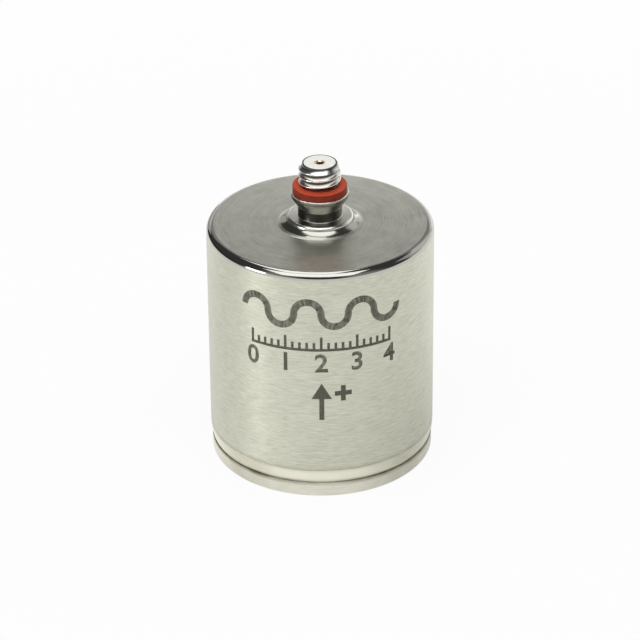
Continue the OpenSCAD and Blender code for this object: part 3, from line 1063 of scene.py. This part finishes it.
    def build_base(self) -> None:
        """Turn the base, drill it for the standoffs and cut the mounting thread."""
        low, high = box_mm("base")
        rim_z = box_mm("case")[0].z
        deck_z = box_mm("board_standoffs")[0].z + self.stud_l
        mass_low, mass_high = box_mm("lower_mass_ring")
        stop_z = mass_low.z - self.stop_gap
        stop_outer_r = mass_high.x - self.stop_inset
        stop_inner_r = mass_high.x - self.mass_w + self.stop_inset
        spigot_r = box_mm("case")[1].x - self.wall - self.slip
        mouth_r = self.thread_minor_r + self.countersink
        section = Section(
            [
                Corner(0.0, self.hole_depth + self.drill_point),
                Corner(self.thread_minor_r, self.hole_depth),
                Corner(self.thread_minor_r, self.thread_end_z + self.thread_runout),
                Corner(self.thread_major_r, self.thread_end_z),
                Corner(self.thread_major_r, mouth_r - self.thread_major_r),
                Corner(mouth_r, low.z, self.mouth_round),
                Corner(high.x - self.foot_chamfer, low.z, self.foot_round),
                Corner(high.x, low.z + self.foot_chamfer, self.foot_edge_round),
                Corner(high.x, rim_z - self.seam_reach),
                Corner(high.x, rim_z, self.lip_round),
                Corner(spigot_r, rim_z),
                Corner(spigot_r, deck_z, self.deck_round),
                Corner(stop_outer_r, deck_z),
                Corner(stop_outer_r, stop_z),
                Corner(stop_inner_r, stop_z),
                Corner(stop_inner_r, deck_z),
                Corner(self.post_r, deck_z, self.post_round),
                Corner(self.post_r, high.z),
                Corner(self.clamp_hole_r, high.z),
                Corner(self.clamp_hole_r, high.z - self.clamp_hole_depth),
                Corner(0.0, high.z - self.clamp_hole_depth),
            ],
            closed=False,
        )
        mesh = cut_away(section.turned(self.steps), self.stud_drills(deck_z))
        thread = Thread(
            root_r=self.thread_major_r + self.thread_sink,
            crest_r=self.thread_minor_r,
            low_z=low.z,
            high_z=self.thread_end_z + self.thread_overrun,
        )
        mouth = Turning(
            low_z=low.z + self.mouth_gap, high_z=self.thread_end_z, low_r=mouth_r, high_r=0.0, inward=True
        )
        join(mesh, thread.ridge(mouth))
        # Darkening of the base's rim under the weld and on its diagonal sides: heat tint and painted shade.
        self.mark_seams(mesh, {rim_z: self.groove_heat}, self.base_dull)
        add_piece("base_body", mesh, [BASE_STEEL], replaces="base")

    def stud_drills(self, deck_z: float) -> Mesh:
        """Make the drills for the standoffs' studs.

        Args:
            deck_z: Height of the base's deck.

        Returns:
            A cylinder for each stud.
        """
        mesh = bmesh.new()
        pitch_r = box_mm("case")[1].x - self.wall - self.standoff_edge
        for number in range(self.standoffs):
            turn = Matrix.Rotation(math.tau * number / self.standoffs, 4, "Z")
            bmesh.ops.create_cone(
                mesh,
                cap_ends=True,
                segments=self.stud_hole_steps,
                radius1=self.stud_hole_r * MM,
                radius2=self.stud_hole_r * MM,
                depth=2 * self.stud_hole_depth * MM,
                matrix=turn @ Matrix.Translation((pitch_r * MM, 0.0, deck_z * MM)),
            )
        return mesh

    def case_zone(self, face: bmesh.types.BMFace) -> CaseZone:
        """Tell which finish a face of the case has.

        Args:
            face: A face of the case.

        Returns:
            The zone that it lies in. The inside counts as the side, and the boss's foot as the top.
        """
        middle = face.calc_center_median() / MM
        if middle.z < self.flat_top_z - self.edge_r:
            return CaseZone.SIDE
        if middle.xy.length < self.boss_polish_r:
            return CaseZone.BOSS
        if face.normal.z > LEVEL or middle.xy.length < self.boss_foot_r:
            return CaseZone.TOP
        return CaseZone.EDGE


@dataclass
class Connector:
    """The coaxial connector: shell with its thread, insulator, contact and sealing ring."""

    flange_t: float = 0.4
    flange_edge_r: float = 0.34
    flange_foot_round: float = 0.02
    neck_r: float = 2.475
    neck_h: float = 1.13
    neck_foot_round: float = 0.06
    neck_round: float = 0.1
    cone_h: float = 1.15
    shoulder_r: float = 3.2
    shoulder_round: float = 0.08
    zone_margin: float = 0.03
    land_margin: float = 0.09
    relief_r: float = 2.0
    thread_r: float = 2.36
    core_r: float = 1.93
    end_round: float = 0.05
    mouth_round: float = 0.03
    thread_gap: float = 0.05
    thread_chamfer: float = 0.5
    start_chamfer: float = 0.2
    thread_start_deg: float = 38.0
    thread_overrun: float = 0.35
    thread_sink: float = 0.03
    thread_inset: Pair = (0.01, 0.02)
    spigot_r: float = 2.9
    web_t: float = 0.4
    web_hole_r: float = 0.9
    seal_r: float = 1.9
    insulator_r: float = 1.5
    insulator_head_t: float = 0.3
    insulator_floor_t: float = 0.6
    insulator_round: float = 0.04
    tail_gap: float = 0.05
    tail_r: float = 0.4
    contact_round: float = 0.05
    contact_steps: int = 96
    bore_r: float = 0.4
    bore_depth: float = 3.0
    bore_mouth: float = 0.1
    ring_edge_r: float = 0.14
    ring_face_z: float = 0.5
    steps: int = 160

    def build(self) -> None:
        """Build and dress the pieces."""
        self.build_shell()
        self.build_insulator()
        self.build_contact()
        self.build_ring()

    def build_shell(self) -> None:
        """Turn the shell, and lay the thread's ridge around its end."""
        low, high = box_mm("connector_shell")
        seat_z = box_mm("case")[1].z
        neck_z = seat_z + self.flange_t
        cone_z = neck_z + self.neck_h
        land_z = cone_z + self.cone_h
        ring_low, ring_high = box_mm("sealing_ring")
        thread_z = ring_high.z + self.thread_gap
        head_r = box_mm("connector_insulator")[1].x
        head_z = high.z - self.insulator_head_t
        section = Section(
            [
                Corner(self.seal_r, low.z),
                Corner(self.spigot_r, low.z),
                Corner(self.spigot_r, seat_z),
                Corner(high.x, seat_z, self.flange_foot_round),
                Corner(high.x, neck_z, self.flange_edge_r),
                Corner(self.neck_r, neck_z, self.neck_foot_round),
                Corner(self.neck_r, cone_z, self.neck_round),
                Corner(self.shoulder_r, land_z, self.shoulder_round),
                Corner(self.shoulder_r, ring_low.z, self.shoulder_round),
                Corner(self.relief_r, ring_low.z),
                Corner(self.relief_r, thread_z),
                Corner(self.core_r, thread_z),
                Corner(self.core_r, high.z, self.end_round),
                Corner(head_r, high.z, self.mouth_round),
                Corner(head_r, head_z),
                Corner(self.insulator_r, head_z),
                Corner(self.insulator_r, cone_z),
                Corner(self.web_hole_r, cone_z),
                Corner(self.web_hole_r, cone_z - self.web_t),
                Corner(self.seal_r, cone_z - self.web_t),
            ]
        )
        mesh = section.turned(self.steps)
        join(mesh, self.thread_ridge(thread_z, high.z))
        # The land, cone and neck get darker copies of the steel: painted shade.
        zones = {
            ShellZone.FLANGE: (neck_z - self.zone_margin, neck_z + self.zone_margin),
            ShellZone.NECK: (neck_z + self.zone_margin, cone_z),
            ShellZone.CONE: (cone_z, land_z),
            ShellZone.LAND: (land_z - self.zone_margin, ring_low.z - self.land_margin),
            ShellZone.THREAD: (thread_z, math.inf),
        }
        for face in mesh.faces:
            z = (face.calc_center_median() / MM).z
            for zone, (zone_low_z, zone_high_z) in zones.items():
                if zone_low_z < z < zone_high_z:
                    face.material_index = zone
        finishes = [SHELL_FINISHES[zone] for zone in ShellZone]
        add_piece("connector_body", mesh, finishes, replaces="connector_shell")

    def thread_ridge(self, low_z: float, high_z: float) -> Mesh:
        """Lay the ridge from the relief groove to the chamfered end.

        Args:
            low_z: Height of the thread's lower end.
            high_z: Height of the shell's end.

        Returns:
            The ridge.
        """
        low_inset, high_inset = self.thread_inset
        thread = Thread(
            root_r=self.core_r - self.thread_sink,
            crest_r=self.thread_r,
            low_z=low_z - self.thread_overrun,
            high_z=high_z + self.thread_overrun,
            start_deg=self.thread_start_deg,
        )
        return thread.ridge(
            Turning(
                low_z=low_z + low_inset,
                high_z=high_z - high_inset,
                low_r=self.thread_r - self.start_chamfer,
                high_r=self.thread_r - self.thread_chamfer,
            )
        )

    def build_insulator(self) -> None:
        """Turn the plastic around the contact."""
        low, high = box_mm("connector_insulator")
        socket_r = box_mm("contact_socket")[1].x
        tail_hole_r = self.tail_r + self.tail_gap
        section = Section(
            [
                Corner(tail_hole_r, low.z),
                Corner(self.insulator_r, low.z),
                Corner(self.insulator_r, high.z - self.insulator_head_t),
                Corner(high.x, high.z - self.insulator_head_t),
                Corner(high.x, high.z, self.insulator_round),
                Corner(socket_r, high.z, self.insulator_round),
                Corner(socket_r, low.z + self.insulator_floor_t),
                Corner(tail_hole_r, low.z + self.insulator_floor_t),
            ]
        )
        add_piece(
            "insulator_sleeve",
            section.turned(self.steps),
            [WHITE_INSULATOR],
            replaces="connector_insulator",
        )

    def build_contact(self) -> None:
        """Turn the contact with its bore for the plug's pin."""
        low, high = box_mm("contact_socket")
        seat_z = box_mm("connector_insulator")[0].z + self.insulator_floor_t
        section = Section(
            [
                Corner(0.0, low.z),
                Corner(self.tail_r, low.z, self.contact_round),
                Corner(self.tail_r, seat_z),
                Corner(high.x, seat_z),
                Corner(high.x, high.z, self.contact_round),
                Corner(self.bore_r + self.bore_mouth, high.z, self.mouth_round),
                Corner(self.bore_r, high.z - self.bore_mouth),
                Corner(self.bore_r, high.z - self.bore_depth),
                Corner(0.0, high.z - self.bore_depth),
            ],
            closed=False,
        )
        contact = section.turned(self.contact_steps)
        add_piece("centre_contact", contact, [GOLD_PLATE], replaces="contact_socket")

    def build_ring(self) -> None:
        """Turn the flat red sealing ring."""
        low, high = box_mm("sealing_ring")
        inner_r = self.relief_r + self.thread_gap
        section = Section(
            [
                Corner(inner_r, low.z, self.ring_edge_r),
                Corner(high.x, low.z, self.ring_edge_r),
                Corner(high.x, high.z, self.ring_edge_r),
                Corner(inner_r, high.z, self.ring_edge_r),
            ]
        )
        mesh = section.turned(self.steps)
        # Faces that point up or down keep the rubber's colour; the sides get the darker copy, as painted
        # shade.
        for face in mesh.faces:
            face.material_index = RingZone.FACE if abs(face.normal.z) > self.ring_face_z else RingZone.SIDE
        finishes = [RING_FINISHES[zone] for zone in RingZone]
        add_piece("red_ring", mesh, finishes, replaces="sealing_ring")


@dataclass
class EtchedMark:
    """A plain mark etched on the front: a wave, a scale with numbers and the direction of measuring."""

    lift: float = 0.012
    depth: float = 0.02
    strip: float = 0.5
    wave_z: float = 23.3
    wave_r: float = 1.5
    wave_halves: int = 6
    wave_stroke: float = 0.8
    wave_steps: int = 24
    scale_z: float = 18.9
    scale_w: float = 16.0
    scale_steps: int = 20
    scale_long_every: int = 5
    scale_line: float = 0.3
    tick_short: float = 0.9
    tick_long: float = 1.6
    number_z: float = 16.2
    number_size: float = 3.08
    number_bold: float = 0.06
    arrow_z: float = 12.4
    arrow_h: float = 4.6
    arrow_stroke: float = 0.55
    arrow_head: float = 1.3
    plus_at: Pair = (2.4, 13.4)
    plus_w: float = 1.9

    def build(self) -> None:
        """Draw the mark flat, bend it round the case and dress it."""
        mesh = bmesh.new()
        self.draw_wave(mesh)
        self.draw_scale(mesh)
        self.draw_arrow(mesh)
        self.draw_plus(mesh)
        self.bend(mesh, box_mm("case")[1].x)
        add_piece("etched_mark", mesh, [ETCHED_GREY], crease_deg=0.0)

    def draw_bar(self, mesh: Mesh, x: float, z: float, width: float, height: float) -> None:
        """Draw an upright rectangle.

        Args:
            mesh: The flat drawing.
            x: Its middle, along the front.
            z: Its middle, up the front.
            width: Its width.
            height: Its height.
        """
        size = Matrix.Diagonal((width * MM, height * MM, 1.0, 1.0))
        place = Matrix.Translation((x * MM, z * MM, 0.0))
        bmesh.ops.create_grid(mesh, x_segments=1, y_segments=1, size=0.5, matrix=place @ size)

    def draw_wave(self, mesh: Mesh) -> None:
        """Draw half rings in a row, one up and one down.

        Args:
            mesh: The flat drawing.
        """
        for half in range(self.wave_halves):
            middle = (2 * half + 1 - self.wave_halves) * self.wave_r
            ends = [
                mesh.verts.new(((middle + r) * MM, self.wave_z * MM, 0.0))
                for r in (self.wave_r - self.wave_stroke / 2, self.wave_r + self.wave_stroke / 2)
            ]
            bmesh.ops.spin(
                mesh,
                geom=[*ends, mesh.edges.new(ends)],
                cent=(middle * MM, self.wave_z * MM, 0.0),
                axis=(0.0, 0.0, 1.0),
                angle=math.pi if half % 2 == 0 else -math.pi,
                steps=self.wave_steps,
            )

    def draw_scale(self, mesh: Mesh) -> None:
        """Draw the scale's line, its ticks and the numbers under the long ones.

        Args:
            mesh: The flat drawing.
        """
        self.draw_bar(mesh, 0.0, self.scale_z, self.scale_w + self.scale_line, self.scale_line)
        for step in range(self.scale_steps + 1):
            x = self.scale_w * (step / self.scale_steps - 0.5)
            marked = step % self.scale_long_every == 0
            height = self.tick_long if marked else self.tick_short
            self.draw_bar(mesh, x, self.scale_z + height / 2, self.scale_line, height)
            if marked:
                self.draw_number(mesh, step // self.scale_long_every, x)

    def draw_number(self, mesh: Mesh, number: int, x: float) -> None:
        """Write a number under the scale.

        Args:
            mesh: The flat drawing.
            number: The number.
            x: Its middle.
        """
        font = bpy.data.curves.new("number", "FONT")
        font.body = str(number)
        font.size = self.number_size * MM
        font.align_x = "CENTER"
        font.offset = self.number_bold * MM
        written = bpy.data.objects.new("number", font)
        flat = bpy.data.meshes.new_from_object(written)
        flat.transform(Matrix.Translation((x * MM, self.number_z * MM, 0.0)))
        mesh.from_mesh(flat)
        bpy.data.objects.remove(written)
        bpy.data.curves.remove(font)
        bpy.data.meshes.remove(flat)

    def draw_arrow(self, mesh: Mesh) -> None:
        """Draw an arrow along the axis, towards the connector.

        Args:
            mesh: The flat drawing.
        """
        tip_z = self.arrow_z + self.arrow_h / 2
        head_h = self.arrow_head * (1.0 + math.cos(math.tau / 6))
        shaft_h = self.arrow_h - head_h
        self.draw_bar(mesh, 0.0, self.arrow_z - head_h / 2, self.arrow_stroke, shaft_h)
        place = Matrix.Translation((0.0, (tip_z - self.arrow_head) * MM, 0.0))
        bmesh.ops.create_circle(mesh, cap_ends=True, segments=3, radius=self.arrow_head * MM, matrix=place)

    def draw_plus(self, mesh: Mesh) -> None:
        """Draw the plus sign beside the arrow's head.

        Args:
            mesh: The flat drawing.
        """
        x, z = self.plus_at
        self.draw_bar(mesh, x, z, self.plus_w, self.arrow_stroke)
        self.draw_bar(mesh, x, z, self.arrow_stroke, self.plus_w)

    def bend(self, mesh: Mesh, case_r: float) -> None:
        """Cut the flat drawing into strips and lay it round the front of the case.

        Args:
            mesh: The flat drawing.
            case_r: Radius of the case.
        """
        bmesh.ops.remove_doubles(mesh, verts=mesh.verts[:], dist=MERGE_REACH)
        bmesh.ops.reverse_faces(mesh, faces=[face for face in mesh.faces if face.normal.z < 0.0])
        reach = round(max(abs(vert.co.x) for vert in mesh.verts) / (self.strip * MM)) + 1
        for strip in range(-reach, reach + 1):
            bmesh.ops.bisect_plane(
                mesh,
                geom=mesh.verts[:] + mesh.edges[:] + mesh.faces[:],
                plane_co=(strip * self.strip * MM, 0.0, 0.0),
                plane_no=(1.0, 0.0, 0.0),
            )
        shown_r = (case_r + self.lift) * MM
        for vert in mesh.verts:
            angle = vert.co.x / (case_r * MM)
            vert.co = (shown_r * math.sin(angle), -shown_r * math.cos(angle), vert.co.y)
        bmesh.ops.solidify(mesh, geom=mesh.faces[:], thickness=self.depth * MM)


class Inside:
    """The sealed pieces, which stay as solids and take their finishes."""

    def dress(self) -> None:
        """Give each inner solid its material. The other classes replace the solids of all other slots."""
        slots = {part["node"]: part["material_slot"] for part in frame["record"]["subparts"]}
        made = {slot: finish.make() for slot, finish in INSIDE_FINISHES.items()}
        for name, solid in frame["nodes"].items():
            slot = slots[name]
            if slot in made:
                solid.data.materials.clear()
                solid.data.materials.append(made[slot])
                LOG.info("%s: dressed as %s", name, slot)


@dataclass
class PhotoCamera:
    """The camera, fitted to the photograph."""

    target: Triple = (-0.111, 0.027, 15.688)
    elevation_deg: float = 28.79
    distance: float = 366.734
    roll_deg: float = -0.52
    lens: float = 182.46
    sensor: float = 36.0
    clip: Pair = (0.01, 20.0)

    def build(self) -> None:
        """Make the camera, and make it the scene's."""
        data = bpy.data.cameras.new("photo_camera")
        data.sensor_width = self.sensor
        data.lens = self.lens
        data.clip_start, data.clip_end = self.clip
        camera = bpy.data.objects.new("photo_camera", data)
        elevation = math.radians(self.elevation_deg)
        back = Vector((0.0, -math.cos(elevation), math.sin(elevation)))
        right = Vector((1.0, 0.0, 0.0))
        turn = Matrix((right, back.cross(right), back)).transposed()
        roll = Matrix.Rotation(math.radians(self.roll_deg), 3, "Z")
        place = Matrix.Translation((Vector(self.target) + back * self.distance) * MM)
        camera.matrix_world = place @ (turn @ roll).to_4x4()
        bpy.context.scene.collection.objects.link(camera)
        bpy.context.scene.camera = camera


@dataclass(frozen=True)
class Softbox:
    """A soft rectangular lamp that points at the object."""

    name: str
    azimuth_deg: float
    elevation_deg: float
    distance: float
    width: float
    height: float
    radiance: float
    shift: float = 0.0
    mirrored: bool = True

    def build(self, aim: Vector) -> None:
        """Hang the lamp.

        Args:
            aim: The point that it lights, in metres.
        """
        data = bpy.data.lights.new(self.name, "AREA")
        data.shape = "RECTANGLE"
        data.size = self.width
        data.size_y = self.height
        data.energy = self.radiance * math.pi * self.width * self.height
        lamp = bpy.data.objects.new(self.name, data)
        azimuth = math.radians(self.azimuth_deg)
        elevation = math.radians(self.elevation_deg)
        way = Vector(
            (
                math.sin(azimuth) * math.cos(elevation),
                -math.cos(azimuth) * math.cos(elevation),
                math.sin(elevation),
            )
        )
        lamp.location = aim + way * self.distance + Vector((self.shift, 0.0, 0.0))
        lamp.visible_camera = False
        lamp.visible_glossy = self.mirrored
        lamp.rotation_euler = (-way).to_track_quat("-Z", "Y").to_euler()
        bpy.context.scene.collection.objects.link(lamp)


@dataclass
class Studio:
    """A pale floor, a few soft lamps and a sky that is white at the horizon and dim above."""

    round_steps: int = 96
    matt: float = 0.9
    floor_r: float = 3.0
    floor_sink: float = 0.02
    floor_white: float = 0.85
    floor_bounce: float = 0.3
    floor_glow: float = 0.92
    floor_glow_reach: Pair = (0.03, 0.2)
    # What the metal sees in the floor: a painted shadow at the right, painted light at the left and behind.
    floor_open: float = 0.9
    floor_shaded: float = 0.6
    floor_shade_at: Pair = (0.016, -0.004)
    floor_shade_r: float = 0.03
    floor_behind: float = 0.1
    floor_behind_reach: Pair = (0.015, 0.05)
    floor_bright: float = 0.1
    floor_bright_at: Pair = (-0.03, -0.035)
    floor_bright_r: float = 0.03
    sky_dim: float = 0.05
    sky_side: float = 0.3
    sky_horizon: Pair = (0.05, 0.15)
    sky_sideways: Pair = (0.25, 0.55)
    sky_forward: Pair = (-0.3, -0.6)
    flag_r: float = 0.32
    flag_h: float = 0.11
    flag_grey: float = 0.04
    flag_deg: Pair = (-165.0, -60.0)
    lamps: Sequence[Softbox] = (
        Softbox("top_lamp", 180.0, 68.0, 0.5, 0.22, 0.344, 1.6, shift=-0.045),
        Softbox("front_lamp", 0.0, 66.0, 0.5, 0.6, 0.424, 1.6, shift=-0.04),
        Softbox("fill_lamp", 0.0, 72.0, 0.5, 0.6, 0.5, 1.25, mirrored=False),
        Softbox("back_lamp", 158.0, 26.0, 0.6, 1.14, 0.42, 0.25),
        Softbox("near_lamp", 180.0, 21.1, 0.0589, 0.1, 0.024, 0.45),
        Softbox("right_lamp", 120.0, 26.0, 0.6, 0.5, 0.42, 0.4),
        Softbox("left_lamp", -64.0, 7.0, 0.28, 0.1, 0.08, 5.0),
    )

    def build(self) -> None:
        """Make the floor, the lamps and the sky."""
        self.build_floor()
        self.build_flag()
        self.build_sky()
        low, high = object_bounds()
        for lamp in self.lamps:
            lamp.build((low + high) / 2)
        bpy.context.scene.view_settings.view_transform = "Standard"

    def build_floor(self) -> None:
        """Lay the floor just under the object."""
        mesh = bmesh.new()
        bmesh.ops.create_circle(mesh, cap_ends=True, segments=self.round_steps, radius=self.floor_r)
        bmesh.ops.translate(mesh, vec=(0.0, 0.0, -self.floor_sink * MM), verts=mesh.verts[:])
        floor = add_object("floor", mesh, [self.floor_material()])
        floor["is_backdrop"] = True

    def build_flag(self) -> None:
        """Stand a low dark screen on the left, out of the camera's sight, for the metal to show."""
        mesh = bmesh.new()
        bmesh.ops.create_circle(mesh, segments=self.round_steps, radius=self.flag_r)
        first, last = self.flag_deg
        gap = [vert for vert in mesh.verts if not first < math.degrees(turn_from_front(vert.co)) < last]
        bmesh.ops.delete(mesh, geom=gap, context="VERTS")
        raised = bmesh.ops.extrude_edge_only(mesh, edges=mesh.edges[:])["geom"]
        top = [item for item in raised if isinstance(item, bmesh.types.BMVert)]
        bmesh.ops.translate(mesh, vec=(0.0, 0.0, self.flag_h), verts=top)
        shader = Shader("flag_black")
        shader.feed(shader.principled, "Base Color", (self.flag_grey, self.flag_grey, self.flag_grey, 1.0))
        shader.feed(shader.principled, "Roughness", self.matt)
        flag = add_object("dark_flag", mesh, [shader.material])
        flag.visible_camera = False
        flag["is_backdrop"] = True

    def floor_material(self) -> bpy.types.Material:
        """Make a white floor that keeps a soft shadow.

        Returns:
            The floor's material.
        """
        shader = Shader("floor_white")
        rays = shader.node("ShaderNodeLightPath")
        albedo = shader.between(rays.outputs["Is Diffuse Ray"], self.floor_white, self.floor_bounce, 0.0, 1.0)
        shader.feed(shader.principled, "Base Color", albedo)
        shader.feed(shader.principled, "Roughness", self.matt)
        straight = shader.math("MAXIMUM", rays.outputs["Is Camera Ray"], rays.outputs["Is Transmission Ray"])
        glow = shader.node("ShaderNodeEmission")
        shader.feed(glow, "Strength", shader.between(straight, self.floor_mirrored(shader), 1.0, 0.0, 1.0))
        seen = shader.math("MAXIMUM", straight, rays.outputs["Is Glossy Ray"])
        share = shader.between(shader.distance(), self.floor_glow, 1.0, *self.floor_glow_reach)
        mix = shader.node("ShaderNodeMixShader")
        shader.feed(mix, 0, shader.math("MULTIPLY", seen, share))
        shader.feed(mix, 1, shader.principled.outputs["BSDF"])
        shader.feed(mix, 2, glow.outputs["Emission"])
        shader.feed(shader.tree.nodes["Material Output"], "Surface", mix.outputs["Shader"])
        return shader.material

    def floor_mirrored(self, shader: Shader) -> Socket:
        """Tell how bright the metal sees the floor: a painted shadow at the right and painted light at the
        left and behind, which only reflections show.

        Args:
            shader: The floor's material.

        Returns:
            The brightness's socket.
        """
        from_shade = shader.distance(self.floor_shade_at)
        shaded = shader.between(from_shade, self.floor_shaded, self.floor_open, 0.0, self.floor_shade_r)
        from_bright = shader.distance(self.floor_bright_at)
        bright = shader.between(from_bright, self.floor_bright, 0.0, 0.0, self.floor_bright_r)
        depth = shader.node("ShaderNodeSeparateXYZ", Vector=shader.place((1.0, 1.0, 1.0))).outputs["Y"]
        behind = shader.between(depth, 0.0, self.floor_behind, *self.floor_behind_reach)
        return shader.math("ADD", shader.math("ADD", shaded, bright), behind)

    def build_sky(self) -> None:
        """Make the sky: white up to just above the horizon, grey at the sides and dim elsewhere."""
        world = bpy.data.worlds.new("studio_sky")
        world.use_nodes = True
        bpy.context.scene.world = world
        sky = Nodes(world.node_tree)
        way = sky.node("ShaderNodeTexCoord").outputs["Generated"]
        parts = sky.node("ShaderNodeSeparateXYZ", Vector=way).outputs
        sideways = sky.math("ABSOLUTE", parts["X"])
        side = sky.between(sideways, self.sky_dim, self.sky_side, *self.sky_sideways)
        above = sky.between(parts["Y"], self.sky_dim, side, *self.sky_forward)
        level = sky.between(parts["Z"], 1.0, above, *self.sky_horizon)
        sky.feed(world.node_tree.nodes["Background"], "Color", level)


def main() -> None:
    """Build the camera, the pieces and the studio."""
    logging.basicConfig(level=logging.INFO, format="%(message)s")
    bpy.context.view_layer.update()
    PhotoCamera().build()
    Housing().build()
    Connector().build()
    EtchedMark().build()
    Inside().dress()
    Studio().build()


if __name__ == "__main__":
    main()
